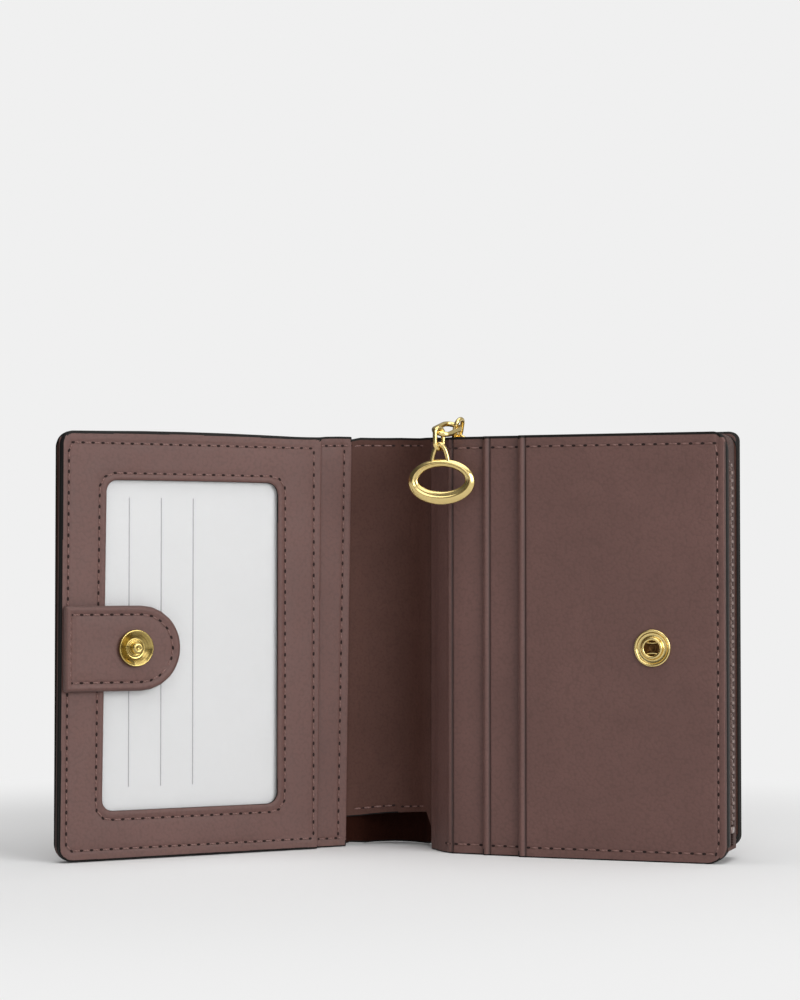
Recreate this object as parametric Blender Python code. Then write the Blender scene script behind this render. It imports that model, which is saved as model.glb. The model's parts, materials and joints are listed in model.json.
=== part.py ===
"""A small leather snap wallet, standing open on its lower edges.

The block on the right holds three card slots, the snap's socket and a zipped coin pocket. The spine
and the leaf with the card window fold about two upright axes, and a tab with the snap's stud lies
over the window. A chain with a hoop charm hangs from the zip's slider.

Each leaf is modelled in its own frame, held by an empty on its fold axis. In the block's frame x runs
along the card face, y runs back from it and z is up. In the other frames x runs out from the fold axis
and y points to the wallet's inner side.
"""

import math

import bmesh
import bpy
import numpy as np
from mathutils import Matrix, Vector

MM = 0.001

# Driving dimensions of the whole wallet
HEIGHT = 95.0 * MM
INNER_SETBACK = 0.3 * MM
INNER_HEIGHT = HEIGHT - INNER_SETBACK
CORNER_RADIUS = 4.0 * MM
COVER_LEATHER = 0.9 * MM
THIN_LEATHER = 0.7 * MM
DIVIDER_LEATHER = 0.4 * MM
LAYER_GAP = 0.2 * MM
CLEARANCE = 0.3 * MM
OVERRUN = 1.0 * MM

# How far the wallet stands open, seen from above
BLOCK_YAW = math.radians(-19.0)
SPINE_YAW = math.radians(-18.6)
LEAF_YAW = math.radians(28.6)
LOOK_BACK = math.radians(180.0)

# Block
BLOCK_WIDTH = 63.2 * MM
BLOCK_DEPTH = 15.6 * MM
SLOT_STEP = 1.2 * MM
SLOT_LEATHER = 0.6 * MM
BASE_LEFT = -0.6 * MM
INNER_SLOT_LEFT = 7.1 * MM
OUTER_SLOT_LEFT = 15.5 * MM
LIP_WIDTH = 1.8 * MM
LIP_PEAK_SHARE = 0.5
LIP_RISE = 0.3 * MM
COVER_MARGIN = 0.5 * MM
BACK_COVER_LEATHER = 1.4 * MM
BACK_LINING = 1.4 * MM

# Fold axes
SPINE_AXIS_X = -9.35 * MM
SPINE_AXIS_Y = 11.9 * MM
SPINE_CHORD = 18.0 * MM
SPINE_LEATHER = 1.2 * MM
SPINE_BULGE = 8.4 * MM
SPINE_END_DEPTH = 1.7 * MM
SPINE_LIFT = 0.9 * MM
DIVIDER_BULGE = 4.2 * MM
DIVIDER_BOTTOM = 6.8 * MM
DIVIDER_SLOPE = 1.6 * MM

# Coin pocket
GUSSET_LEATHER = 0.8 * MM
GUSSET_LIFT = 0.5 * MM
GUSSET_FRONT_X = 0.6 * MM
GUSSET_MIDDLE_X = -5.2 * MM
GUSSET_MIDDLE_Y = 6.6 * MM
GUSSET_REAR_X = -8.3 * MM
GUSSET_FLANGE = 1.6 * MM
BOTTOM_GUSSET_HEIGHT = 2.6 * MM
ZIP_INSET = 0.6 * MM
ZIP_DROP = 2.5 * MM
ZIP_FOOT = 8.0 * MM
ZIP_CORNER_RADIUS = 6.0 * MM
ZIP_LEFT = -3.0 * MM
TAPE_FRONT_LEFT = 2.0 * MM
TAPE_THICKNESS = 0.5 * MM
ZIP_SLIT = 0.8 * MM
TOOTH_LENGTH = 0.55 * MM
TOOTH_PITCH = 1.7 * MM
TOOTH_WIDTH = 1.0 * MM
TOOTH_SLOPE = 0.15 * MM
STOP_WIDTH = 1.5 * MM
TOOTH_THICKNESS = 1.2 * MM
RAIL_WIDTH = 0.4 * MM

# Slider and chain
SLIDER_LENGTH = 8.0 * MM
SLIDER_PLAN_SHARES = ((0.0, 0.0), (0.12, 0.45), (0.35, 0.85), (0.6, 1.0), (0.82, 0.75), (1.0, 0.0))
SLIDER_LEFT = -2.4 * MM
SLIDER_NOSE_WIDTH = 6.4 * MM
SLIDER_TAIL_WIDTH = 3.8 * MM
SLIDER_PLATE = 0.7 * MM
SLIDER_WEB = 0.3 * MM
BRIDGE_WIRE = 0.4 * MM
BRIDGE_LENGTH = 4.4 * MM
BRIDGE_START = 0.6 * MM
BRIDGE_HEIGHT = 2.2 * MM
CHAIN_REAR_X = -0.4 * MM
CHAIN_X = -2.4 * MM
LINK_WIRE = 0.42 * MM
LINK_GAP = 0.14 * MM
UPPER_LINK_LENGTH = 5.4 * MM
UPPER_LINK_WIDTH = 3.3 * MM
UPPER_LINK_RISE = math.radians(62.0)
UPPER_LINK_TWIST = math.radians(-20.0)
MIDDLE_LINK_WIDTH = 4.8 * MM
MIDDLE_LINK_FRONT_Y = -1.9 * MM
MIDDLE_LINK_FRONT_RISE = 0.3 * MM
MIDDLE_LINK_REAR_Y = 5.75 * MM
MIDDLE_LINK_REAR_RISE = 2.45 * MM
LOWER_LINK_LENGTH = 3.8 * MM
LOWER_LINK_WIDTH = 2.2 * MM
LOWER_LINK_TWIST = math.radians(-25.0)
CONTACT_GAP = 0.06 * MM
CHARM_WIDTH = 15.2 * MM
CHARM_HEIGHT = 11.0 * MM
CHARM_BAND = 1.9 * MM
CHARM_FOOT_BAND = 2.7 * MM
CHARM_THICKNESS = 1.5 * MM
CHARM_DROP = 2.6 * MM
BAIL_WIDTH = 5.2 * MM

# Leaf with the card window
LEAF_LENGTH = 75.0 * MM
WINDOW_FRAME_SETBACK = 11.1 * MM
POCKET_BACK_SETBACK = 2.0 * MM
FILM_THICKNESS = 0.2 * MM
CARD_THICKNESS = 0.3 * MM
WINDOW_LEFT = 10.3 * MM
WINDOW_FOLD_BORDER = 10.9 * MM
WINDOW_BOTTOM = 11.2 * MM
WINDOW_TOP_BORDER = 10.9 * MM
WINDOW_RADIUS = 2.6 * MM
FILM_MARGIN = 2.2 * MM
CARD_LEFT = 5.6 * MM
CARD_WIDTH = 54.0 * MM
CARD_HEIGHT = 85.6 * MM
CARD_RADIUS = 3.0 * MM
FOLD_SETBACK = 0.7 * MM

# Tab and snap
TAB_HEIGHT = 18.7 * MM
TAB_CENTRE = 46.8 * MM
TAB_START = 0.5 * MM
TAB_ROOT = 1.9 * MM
TAB_END = 28.2 * MM
TAB_LEATHER = 0.9 * MM
TAB_BACKING = 0.7 * MM
SNAP_FROM_EDGE = 17.0 * MM
SNAP_RADIUS = 4.15 * MM
SNAP_FLANGE = 0.5 * MM
SNAP_RIM_RADIUS = 2.6 * MM
SNAP_RIM_RISE = 0.5 * MM
SNAP_BORE = 1.75 * MM
SNAP_BARREL = 2.15 * MM
STUD_POST = 1.35 * MM
STUD_NECK = 1.1 * MM
STUD_HEIGHT = 1.7 * MM
STUD_DISH = 0.25 * MM
STUD_RIM = 0.45 * MM
STUD_FOOT = 1.75 * MM
RIVET_RADIUS = 2.9 * MM
RIVET_SHANK = 0.8 * MM
WASHER_RADIUS = 3.3 * MM
WASHER_THICKNESS = 0.3 * MM

# Facets
CORNER_STEPS = 5
ARC_STEPS = 12
ROUND_SIDES = 24
WIRE_SIDES = 8
LINK_STEPS = 8
HOOP_STEPS = 32
SMOOTH_ANGLE = math.radians(40.0)

# Colours
BROWN = (0.127, 0.069, 0.061)
BROWN_INSIDE = (0.098, 0.052, 0.046)
GOLD = (0.62, 0.43, 0.13)
TAPE_BROWN = (0.110, 0.066, 0.058)
CLEAR_FILM = (0.85, 0.87, 0.88)
CARD_WHITE = (0.72, 0.72, 0.72)


def clear_objects():
    for thing in list(bpy.data.objects):
        bpy.data.objects.remove(thing, do_unlink=True)


def make_material(name, colour, roughness, metallic=0.0):
    made = bpy.data.materials.new(name)
    made.use_nodes = True
    shader = made.node_tree.nodes["Principled BSDF"]
    shader.inputs["Base Color"].default_value = (*colour, 1.0)
    shader.inputs["Roughness"].default_value = roughness
    shader.inputs["Metallic"].default_value = metallic
    return made


def leather(name):
    return make_material(name, BROWN, 0.5)


def lining(name):
    return make_material(name, BROWN_INSIDE, 0.6)


def gold(name):
    return make_material(name, GOLD, 0.2, 1.0)


def axis_frame(name, parent, place, turn):
    """An empty on a joint's axis, turned about the vertical."""
    frame = bpy.data.objects.new(name, None)
    frame.parent = parent
    frame.location = place
    frame.rotation_euler = (0.0, 0.0, turn)
    bpy.context.collection.objects.link(frame)
    return frame


def add_object(name, parent, material, mesh_data):
    made = bpy.data.objects.new(name, mesh_data)
    made.parent = parent
    made.data.materials.append(material)
    bpy.context.collection.objects.link(made)
    return made


def loft(name, parent, material, rings, closed=False):
    """A solid through rings of points, capped at both ends or joined into a loop."""
    work = bmesh.new()
    rows = [[work.verts.new(point) for point in ring] for ring in rings]
    pairs = list(zip(rows, rows[1:]))
    if closed:
        pairs.append((rows[-1], rows[0]))
    else:
        work.faces.new(rows[0])
        work.faces.new(rows[-1])
    for row, following in pairs:
        for k in range(len(row)):
            j = (k + 1) % len(row)
            work.faces.new((row[k], row[j], following[j], following[k]))
    bmesh.ops.recalc_face_normals(work, faces=work.faces)
    mesh_data = bpy.data.meshes.new(name)
    work.to_mesh(mesh_data)
    work.free()
    mesh_data.shade_smooth()
    mesh_data.set_sharp_from_angle(angle=SMOOTH_ANGLE)
    return add_object(name, parent, material, mesh_data)


def as_cutter(tool):
    tool.hide_render = True
    tool.display_type = "WIRE"
    return tool


def combine(target, tool, operation):
    step = target.modifiers.new(operation.lower(), "BOOLEAN")
    step.operation = operation
    step.object = as_cutter(tool)


def corner_stations(start, end, start_radius, end_radius):
    """Places along a sheet, each with how far its rounded corners draw its edges in there."""
    angles = [k * math.pi / 2 / CORNER_STEPS for k in range(CORNER_STEPS + 1)]
    stations = []
    if start_radius:
        for a in angles:
            stations.append((start + start_radius * (1 - math.cos(a)), start_radius * (1 - math.sin(a))))
    else:
        stations.append((start, 0.0))
    if end_radius:
        for a in reversed(angles):
            stations.append((end - end_radius * (1 - math.cos(a)), end_radius * (1 - math.sin(a))))
    else:
        stations.append((end, 0.0))
    return stations


def leaf(name, parent, material, x, y, z, radii=(0.0, 0.0)):
    """A flat upright sheet between two values each of x, y and z, with its corners rounded."""
    rings = []
    for along, inset in corner_stations(x[0], x[1], radii[0], radii[1]):
        low, high = z[0] + inset, z[1] - inset
        rings.append([(along, y[0], low), (along, y[1], low), (along, y[1], high), (along, y[0], high)])
    return loft(name, parent, material, rings)


def wall(name, parent, material, line, thickness, z, slope=0.0):
    """An upright sheet along a line drawn in plan. The slope raises its lower edge at the line's start."""
    points = [Vector(point) for point in line]
    rings = []
    for k, point in enumerate(points):
        before, after = points[max(k - 1, 0)], points[min(k + 1, len(points) - 1)]
        along = (after - before).normalized()
        side = Vector((-along.y, along.x)) * thickness / 2
        left, right = point + side, point - side
        low = z[0] + slope * (1 - k / (len(points) - 1))
        high = z[1]
        rings.append([(*left, low), (*right, low), (*right, high), (*left, high)])
    return loft(name, parent, material, rings)


def turned(name, parent, material, centre, profile):
    """A closed profile of (radius, y) points turned about a line along y through the centre."""
    rings = []
    for k in range(ROUND_SIDES):
        a = 2 * math.pi * k / ROUND_SIDES
        ring = []
        for radius, depth in profile:
            ring.append((centre[0] + radius * math.cos(a), depth, centre[1] + radius * math.sin(a)))
        rings.append(ring)
    return loft(name, parent, material, rings, closed=True)


def stacked(name, parent, material, centre, profile):
    """Discs of (y, radius) stacked along y into one solid without a bore."""
    rings = []
    for depth, radius in profile:
        ring = []
        for k in range(ROUND_SIDES):
            a = 2 * math.pi * k / ROUND_SIDES
            ring.append((centre[0] + radius * math.cos(a), depth, centre[1] + radius * math.sin(a)))
        rings.append(ring)
    return loft(name, parent, material, rings)


def tube_rings(points, radii, closed, up):
    """Circles square to a path; up is the direction that the first of each circle's axes follows."""
    count = len(points)
    rings = []
    for k, point in enumerate(points):
        if closed:
            along = points[(k + 1) % count] - points[k - 1]
        else:
            along = points[min(k + 1, count - 1)] - points[max(k - 1, 0)]
        along.normalize()
        across = along.cross(up).normalized()
        out = across.cross(along)
        ring = []
        for j in range(WIRE_SIDES):
            a = 2 * math.pi * (j + 0.5) / WIRE_SIDES
            ring.append(point + across * radii[k][0] * math.cos(a) + out * radii[k][1] * math.sin(a))
        rings.append(ring)
    return rings


def arc_through(start, end, bulge):
    """A circular arc in plan from start to end that swells to one side of its chord by the bulge."""
    start, end = Vector(start), Vector(end)
    chord = end - start
    half = chord.length / 2
    radius = (half * half + bulge * bulge) / (2 * bulge)
    side = Vector((chord.y, -chord.x)).normalized()
    centre = (start + end) / 2 - side * (radius - bulge)
    reach = math.asin(min(1.0, half / radius))
    if bulge > half:
        reach = math.pi - reach
    line = []
    for k in range(ARC_STEPS + 1):
        a = -reach + 2 * reach * k / ARC_STEPS
        line.append(centre + chord.normalized() * radius * math.sin(a) + side * radius * math.cos(a))
    return line


# Frames of the block, the spine, the leaf and the tab
def make_frames():
    frames = {"block": axis_frame("block_frame", None, (0.0, 0.0, 0.0), BLOCK_YAW)}
    spine_turn = LOOK_BACK + SPINE_YAW - BLOCK_YAW
    place = (SPINE_AXIS_X, SPINE_AXIS_Y, 0.0)
    frames["spine"] = axis_frame("spine_fold_axis", frames["block"], place, spine_turn)
    leaf_turn = LEAF_YAW - SPINE_YAW
    frames["leaf"] = axis_frame("leaf_fold_axis", frames["spine"], (SPINE_CHORD, 0.0, 0.0), leaf_turn)
    place = (tab_axis_x(), tab_axis_y(), TAB_CENTRE)
    frames["tab"] = axis_frame("tab_fold_axis", frames["leaf"], place, LOOK_BACK)
    return frames


# Depths of the leaf's layers, from the inner face outwards
def leaf_layers():
    inner = DIVIDER_LEATHER / 2 + LAYER_GAP
    layers = {"divider": (-DIVIDER_LEATHER / 2, DIVIDER_LEATHER / 2)}
    layers["pocket_back"] = (inner, inner + THIN_LEATHER)
    card = layers["pocket_back"][1] + LAYER_GAP
    layers["card"] = (card, card + CARD_THICKNESS)
    film = layers["card"][1] + LAYER_GAP
    layers["film"] = (film, film + FILM_THICKNESS)
    frame = layers["film"][1] + LAYER_GAP
    layers["frame"] = (frame, frame + COVER_LEATHER)
    cover = -DIVIDER_LEATHER / 2 - LAYER_GAP
    layers["cover"] = (cover - COVER_LEATHER, cover)
    return layers


def tab_axis_x():
    return LEAF_LENGTH - TAB_START - TAB_ROOT - CLEARANCE - tab_half()


def tab_axis_y():
    return leaf_layers()["frame"][1] + LAYER_GAP + tab_half()


def tab_half():
    return (TAB_LEATHER + TAB_BACKING + LAYER_GAP / 2) / 2


# Back cover and its lining: the outer shell behind the block
def make_back_cover(block):
    right = BLOCK_WIDTH + COVER_MARGIN
    outer, inner = BLOCK_DEPTH, BLOCK_DEPTH - BACK_COVER_LEATHER
    left = SPINE_AXIS_X + CLEARANCE
    leaf("back_cover", block, leather("back_cover"), (left, right), (inner, outer), (0.0, HEIGHT),
         (0.0, CORNER_RADIUS))
    near = inner - LAYER_GAP
    leaf("back_lining", block, lining("back_lining"), (left, right), (near - BACK_LINING, near),
         (0.0, HEIGHT), (0.0, CORNER_RADIUS))


# Divider sheet: the coin pocket's rear wall, which goes on through the spine into the leaf
def make_divider_back(block):
    depth = (SPINE_AXIS_Y - DIVIDER_LEATHER / 2, SPINE_AXIS_Y + DIVIDER_LEATHER / 2)
    left = SPINE_AXIS_X + CLEARANCE
    leaf("divider_back", block, lining("divider_back"), (left, BLOCK_WIDTH), depth,
         (GUSSET_LIFT, INNER_HEIGHT), (0.0, CORNER_RADIUS))


# Card slots: three sheets that step forward to the right, each with a turned lip along its mouth
def card_sheet(block, name, left, front, thickness):
    rings = []
    lip = [(left, 0.0), (left + LIP_WIDTH * LIP_PEAK_SHARE, LIP_RISE), (left + LIP_WIDTH, 0.0)]
    stations = [(x, rise, 0.0) for x, rise in lip]
    corners = corner_stations(left + LIP_WIDTH, BLOCK_WIDTH, 0.0, CORNER_RADIUS)
    stations += [(x, 0.0, inset) for x, inset in corners[1:]]
    for x, rise, inset in stations:
        low, high = inset, INNER_HEIGHT - inset
        near, far = front - rise, front + thickness
        rings.append([(x, near, low), (x, far, low), (x, far, high), (x, near, high)])
    return loft(name, block, leather(name), rings)


def make_card_slots(block):
    outer = card_sheet(block, "card_pocket_outer", OUTER_SLOT_LEFT, 0.0, SLOT_LEATHER)
    card_sheet(block, "card_pocket_inner", INNER_SLOT_LEFT, SLOT_STEP, SLOT_LEATHER)
    card_sheet(block, "card_base", BASE_LEFT, base_front(), THIN_LEATHER)
    hole = [(-OVERRUN, SNAP_BARREL + CLEARANCE), (SLOT_LEATHER + OVERRUN, SNAP_BARREL + CLEARANCE)]
    cutter = stacked("socket_hole", block, leather("socket_hole"), socket_centre(), hole)
    combine(outer, cutter, "DIFFERENCE")


def base_front():
    return SLOT_STEP + SLOT_LEATHER + LAYER_GAP


def base_rear():
    return base_front() + THIN_LEATHER


# Snap socket: a flanged eyelet through the outer card sheet, with a washer behind the leather
def socket_centre():
    return (BLOCK_WIDTH + COVER_MARGIN - SNAP_FROM_EDGE, TAB_CENTRE)


def make_socket(block):
    rear = SLOT_LEATHER - LAYER_GAP / 2
    face = -CONTACT_GAP
    rim = face - SNAP_FLANGE - SNAP_RIM_RISE
    profile = [
        (SNAP_BORE, rear),
        (SNAP_BARREL, rear),
        (SNAP_BARREL, face),
        (SNAP_RADIUS, face),
        (SNAP_RADIUS, face - SNAP_FLANGE / 2),
        (SNAP_RADIUS - SNAP_FLANGE / 2, face - SNAP_FLANGE),
        (SNAP_RIM_RADIUS, face - SNAP_FLANGE),
        (SNAP_BARREL, rim),
        (SNAP_BORE, rim),
    ]
    turned("snap_socket", block, gold("snap_socket"), socket_centre(), profile)
    near = SLOT_LEATHER + (SLOT_STEP - SLOT_LEATHER - WASHER_THICKNESS) / 2
    ring = [(SNAP_BORE, near), (WASHER_RADIUS, near), (WASHER_RADIUS, near + WASHER_THICKNESS),
            (SNAP_BORE, near + WASHER_THICKNESS)]
    turned("snap_socket_washer", block, gold("snap_socket_washer"), socket_centre(), ring)


# Gussets: the coin pocket's left wall and its floor
def make_gussets(block):
    front = base_rear() + LAYER_GAP + GUSSET_LEATHER / 2
    rear = SPINE_AXIS_Y - DIVIDER_LEATHER / 2 - LAYER_GAP - GUSSET_LEATHER / 2
    line = [
        (GUSSET_FRONT_X, front),
        (BASE_LEFT, front),
        ((BASE_LEFT + GUSSET_MIDDLE_X) / 2, (front + GUSSET_MIDDLE_Y - GUSSET_LEATHER) / 2),
        (GUSSET_MIDDLE_X, GUSSET_MIDDLE_Y),
        ((GUSSET_MIDDLE_X + GUSSET_REAR_X) / 2, (GUSSET_MIDDLE_Y + rear) / 2),
        (GUSSET_REAR_X, rear - GUSSET_LEATHER),
        (GUSSET_REAR_X + GUSSET_LEATHER, rear),
        (GUSSET_REAR_X + GUSSET_LEATHER + GUSSET_FLANGE, rear),
    ]
    wall("gusset_left", block, leather("gusset_left"), line, GUSSET_LEATHER, (GUSSET_LIFT, INNER_HEIGHT))
    near, far = base_rear() + LAYER_GAP, rear + GUSSET_LEATHER / 2
    inside = GUSSET_LEATHER + CLEARANCE
    plan = [
        (GUSSET_FRONT_X + CLEARANCE, near),
        (BLOCK_WIDTH - ZIP_INSET, near),
        (BLOCK_WIDTH - ZIP_INSET, far),
        (GUSSET_REAR_X + GUSSET_FLANGE + inside, far),
        (GUSSET_MIDDLE_X + inside, GUSSET_MIDDLE_Y),
        (GUSSET_FRONT_X + CLEARANCE, near + inside),
    ]
    levels = (BOTTOM_GUSSET_HEIGHT, BOTTOM_GUSSET_HEIGHT + GUSSET_LEATHER)
    loft("gusset_bottom", block, lining("gusset_bottom"), [[(x, y, z) for x, y in plan] for z in levels])


# Zip: its path climbs the right side, rounds the corner and runs left along the top
def zip_straight_rise():
    return INNER_HEIGHT - ZIP_DROP - ZIP_CORNER_RADIUS - ZIP_FOOT


def zip_corner_length():
    return ZIP_CORNER_RADIUS * math.pi / 2


def zip_right():
    return BLOCK_WIDTH - ZIP_INSET - TAPE_THICKNESS / 2


def zip_length():
    return zip_distance_at(ZIP_LEFT)


def zip_distance_at(x):
    """The distance along the zip to a place on its top run."""
    return zip_straight_rise() + zip_corner_length() + zip_right() - ZIP_CORNER_RADIUS - x


def zip_point(distance):
    """The (x, z) place at a distance along the zip, and the outward direction there."""
    rise = zip_straight_rise()
    if distance <= rise:
        return Vector((zip_right(), ZIP_FOOT + distance)), Vector((1.0, 0.0))
    centre = Vector((zip_right() - ZIP_CORNER_RADIUS, ZIP_FOOT + rise))
    if distance <= rise + zip_corner_length():
        a = (distance - rise) / ZIP_CORNER_RADIUS
        out = Vector((math.cos(a), math.sin(a)))
        return centre + out * ZIP_CORNER_RADIUS, out
    past = distance - rise - zip_corner_length()
    return centre + Vector((-past, ZIP_CORNER_RADIUS)), Vector((0.0, 1.0))


def zip_ring(distance, near, far, half, slant=0.0):
    """A rectangle across the zip at a distance along it, its far side further along by the slant."""
    ring = []
    for depth, past, side in ((near, 0.0, 1), (far, slant, 1), (far, slant, -1), (near, 0.0, -1)):
        place, out = zip_point(distance + past)
        spot = place + out * half * side
        ring.append((spot.x, depth, spot.y))
    return ring


def zip_middle():
    return (base_rear() + SPINE_AXIS_Y - DIVIDER_LEATHER / 2) / 2


def make_zip_side(block, side, direction, edge, edge_left):
    """One tape and its row of teeth. The direction is +1 for the rear side and -1 for the front."""
    middle = zip_middle()
    tip = middle + direction * ZIP_SLIT / 2
    root = tip + direction * TOOTH_LENGTH
    rail = root + direction * RAIL_WIDTH
    tape_edge = rail + direction * CONTACT_GAP
    rise, corner = zip_straight_rise(), zip_corner_length()
    bends = [rise + corner * k / CORNER_STEPS for k in range(CORNER_STEPS + 1)]
    foot = BOTTOM_GUSSET_HEIGHT + GUSSET_LEATHER + LAYER_GAP - ZIP_FOOT
    rings = [zip_ring(d, edge, tape_edge, TAPE_THICKNESS / 2) for d in [foot, *bends]]
    last = zip_distance_at(edge_left)
    rings.append(zip_ring(last, edge, tape_edge, TAPE_THICKNESS / 2, zip_length() - last))
    tape_name = "zip_tape_" + side
    loft(tape_name, block, make_material(tape_name, TAPE_BROWN, 0.8), rings)
    count = int(zip_length() / TOOTH_PITCH)
    start = TOOTH_PITCH / 2 if direction > 0 else 0.0
    rings = []
    for k in range(count):
        tooth = start + k * TOOTH_PITCH
        reaches = [(0.0, root), (TOOTH_SLOPE, tip), (TOOTH_WIDTH - TOOTH_SLOPE, tip), (TOOTH_WIDTH, root)]
        for along, reach in reaches:
            rings.append(zip_ring(tooth + along, reach, rail, TOOTH_THICKNESS / 2))
    teeth_name = "zip_teeth_" + side
    loft(teeth_name, block, gold(teeth_name), rings)


def make_zip(block):
    make_zip_side(block, "front", -1, base_rear() + LAYER_GAP, TAPE_FRONT_LEFT)
    make_zip_side(block, "rear", 1, SPINE_AXIS_Y - DIVIDER_LEATHER / 2 - LAYER_GAP, ZIP_LEFT)
    middle = zip_middle()
    half = ZIP_SLIT / 2 + TOOTH_LENGTH + RAIL_WIDTH
    make_zip_stop(block, "zip_bottom_stop", (-CLEARANCE, -CLEARANCE - STOP_WIDTH), middle, half)
    ends = (zip_length() + CLEARANCE, zip_length() + CLEARANCE + STOP_WIDTH / 2)
    make_zip_stop(block, "zip_top_stop", ends, middle, half / 2)


def make_zip_stop(block, name, ends, middle, half):
    rings = [zip_ring(distance, middle - half, middle + half, TOOTH_THICKNESS / 2) for distance in ends]
    loft(name, block, gold(name), rings)


def zip_top():
    return INNER_HEIGHT - ZIP_DROP


# Slider: two plates joined by a web that runs in the slit between the rows of teeth
def make_slider(slider):
    rail = TOOTH_THICKNESS / 2 + CLEARANCE / 2
    plate = rail + SLIDER_PLATE
    lip = TAPE_THICKNESS / 2 + CLEARANCE
    web = SLIDER_WEB / 2
    teeth = ZIP_SLIT / 2 + TOOTH_LENGTH + RAIL_WIDTH + CLEARANCE
    rings = []
    for length_share, width_share in SLIDER_PLAN_SHARES:
        x = SLIDER_LENGTH * length_share
        edge = (SLIDER_TAIL_WIDTH + (SLIDER_NOSE_WIDTH - SLIDER_TAIL_WIDTH) * width_share) / 2
        side = [(edge, plate), (edge, lip), (min(teeth, edge), lip), (min(teeth, edge), rail), (web, rail)]
        side += [(y, -z) for y, z in reversed(side)]
        loop = side + [(-y, z) for y, z in reversed(side)]
        rings.append([(x, y, z) for y, z in loop])
    loft("zip_slider_body", slider, gold("zip_slider_body"), rings)
    make_bridge(slider, plate)


def make_bridge(slider, plate):
    """The wire loop on the slider's upper plate that the chain's first link runs through."""
    top = bridge_top()
    half = BRIDGE_LENGTH / 2
    middle = BRIDGE_START + half
    path = [Vector((middle - half, 0.0, plate + CONTACT_GAP))]
    turn = BRIDGE_WIRE * 2
    angles = [math.pi / 2 * k / CORNER_STEPS for k in range(CORNER_STEPS + 1)]
    for a in angles:
        path.append(Vector((middle - half + turn * (1 - math.cos(a)), 0.0, top - turn * (1 - math.sin(a)))))
    for a in reversed(angles):
        path.append(Vector((middle + half - turn * (1 - math.cos(a)), 0.0, top - turn * (1 - math.sin(a)))))
    path.append(Vector((middle + half, 0.0, plate + CONTACT_GAP)))
    wire = [(BRIDGE_WIRE, BRIDGE_WIRE)] * len(path)
    loft("zip_slider_bridge", slider, gold("zip_slider_bridge"),
         tube_rings(path, wire, False, Vector((0.0, 1.0, 0.0))))


def bridge_top():
    """Height of the bridge wire's centre above the zip's middle."""
    return TOOTH_THICKNESS / 2 + CLEARANCE / 2 + SLIDER_PLATE + BRIDGE_HEIGHT - BRIDGE_WIRE


# Chain: three links and the charm, each on its own empty
def oval_path(length, width, along, across):
    """The centre line of a link with straight sides and round ends."""
    radius = width / 2
    straight = length / 2 - radius
    path = []
    for end in (1, -1):
        for k in range(LINK_STEPS + 1):
            a = math.pi * k / LINK_STEPS - math.pi / 2
            path.append(end * (along * (straight + radius * math.cos(a)) + across * radius * math.sin(a)))
    return path


def make_link(name, frame, centre, length, width, along, across):
    path = [centre + point for point in oval_path(length, width, along, across)]
    wire = [(LINK_WIRE, LINK_WIRE)] * len(path)
    loft(name, frame, gold(name), tube_rings(path, wire, True, along.cross(across)), closed=True)


def middle_link_front_z():
    return INNER_HEIGHT + MIDDLE_LINK_FRONT_RISE


def middle_link_rear_z():
    return INNER_HEIGHT + MIDDLE_LINK_REAR_RISE


def hang_height():
    """Heights of the chain's joints: the lower link's top, its foot and the bail's top."""
    step = 2 * LINK_WIRE + LINK_GAP
    top = middle_link_front_z() + step
    foot = top - LOWER_LINK_LENGTH
    return top, foot, foot + step


def make_chain(slider):
    upright = Vector((0.0, 0.0, 1.0))
    back = Vector((0.0, 1.0, 0.0))
    bridge = Vector((CHAIN_REAR_X, zip_middle(), zip_top() + bridge_top()))
    origin = Vector((SLIDER_LEFT, zip_middle(), zip_top()))

    upper = axis_frame("upper_link_axis", slider, bridge - origin, 0.0)
    rise = -back * math.cos(UPPER_LINK_RISE) + upright * math.sin(UPPER_LINK_RISE)
    foot = -rise * (BRIDGE_WIRE + LINK_WIRE + LINK_GAP)
    flat = back * math.sin(UPPER_LINK_RISE) + upright * math.cos(UPPER_LINK_RISE)
    across = Matrix.Rotation(UPPER_LINK_TWIST, 3, rise) @ flat
    make_link("pull_link_upper", upper, foot + rise * UPPER_LINK_LENGTH / 2, UPPER_LINK_LENGTH,
              UPPER_LINK_WIDTH, rise, across)

    rear = Vector((CHAIN_REAR_X, MIDDLE_LINK_REAR_Y, middle_link_rear_z()))
    front = Vector((CHAIN_X, MIDDLE_LINK_FRONT_Y, middle_link_front_z()))
    middle = axis_frame("middle_link_axis", upper, rear - bridge, 0.0)
    along = (front - rear).normalized()
    make_link("pull_link_middle", middle, (front - rear) / 2, (front - rear).length, MIDDLE_LINK_WIDTH,
              along, upright.cross(along).normalized())

    top, low, bail = hang_height()
    lower = axis_frame("lower_link_axis", middle, front - rear, 0.0)
    centre = upright * ((top + low) / 2 - middle_link_front_z())
    across = Matrix.Rotation(LOWER_LINK_TWIST, 3, upright) @ back
    make_link("pull_link_lower", lower, centre, LOWER_LINK_LENGTH, LOWER_LINK_WIDTH, upright, across)

    charm = axis_frame("charm_axis", lower, upright * (bail - middle_link_front_z()), 0.0)
    make_charm(charm)


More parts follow.
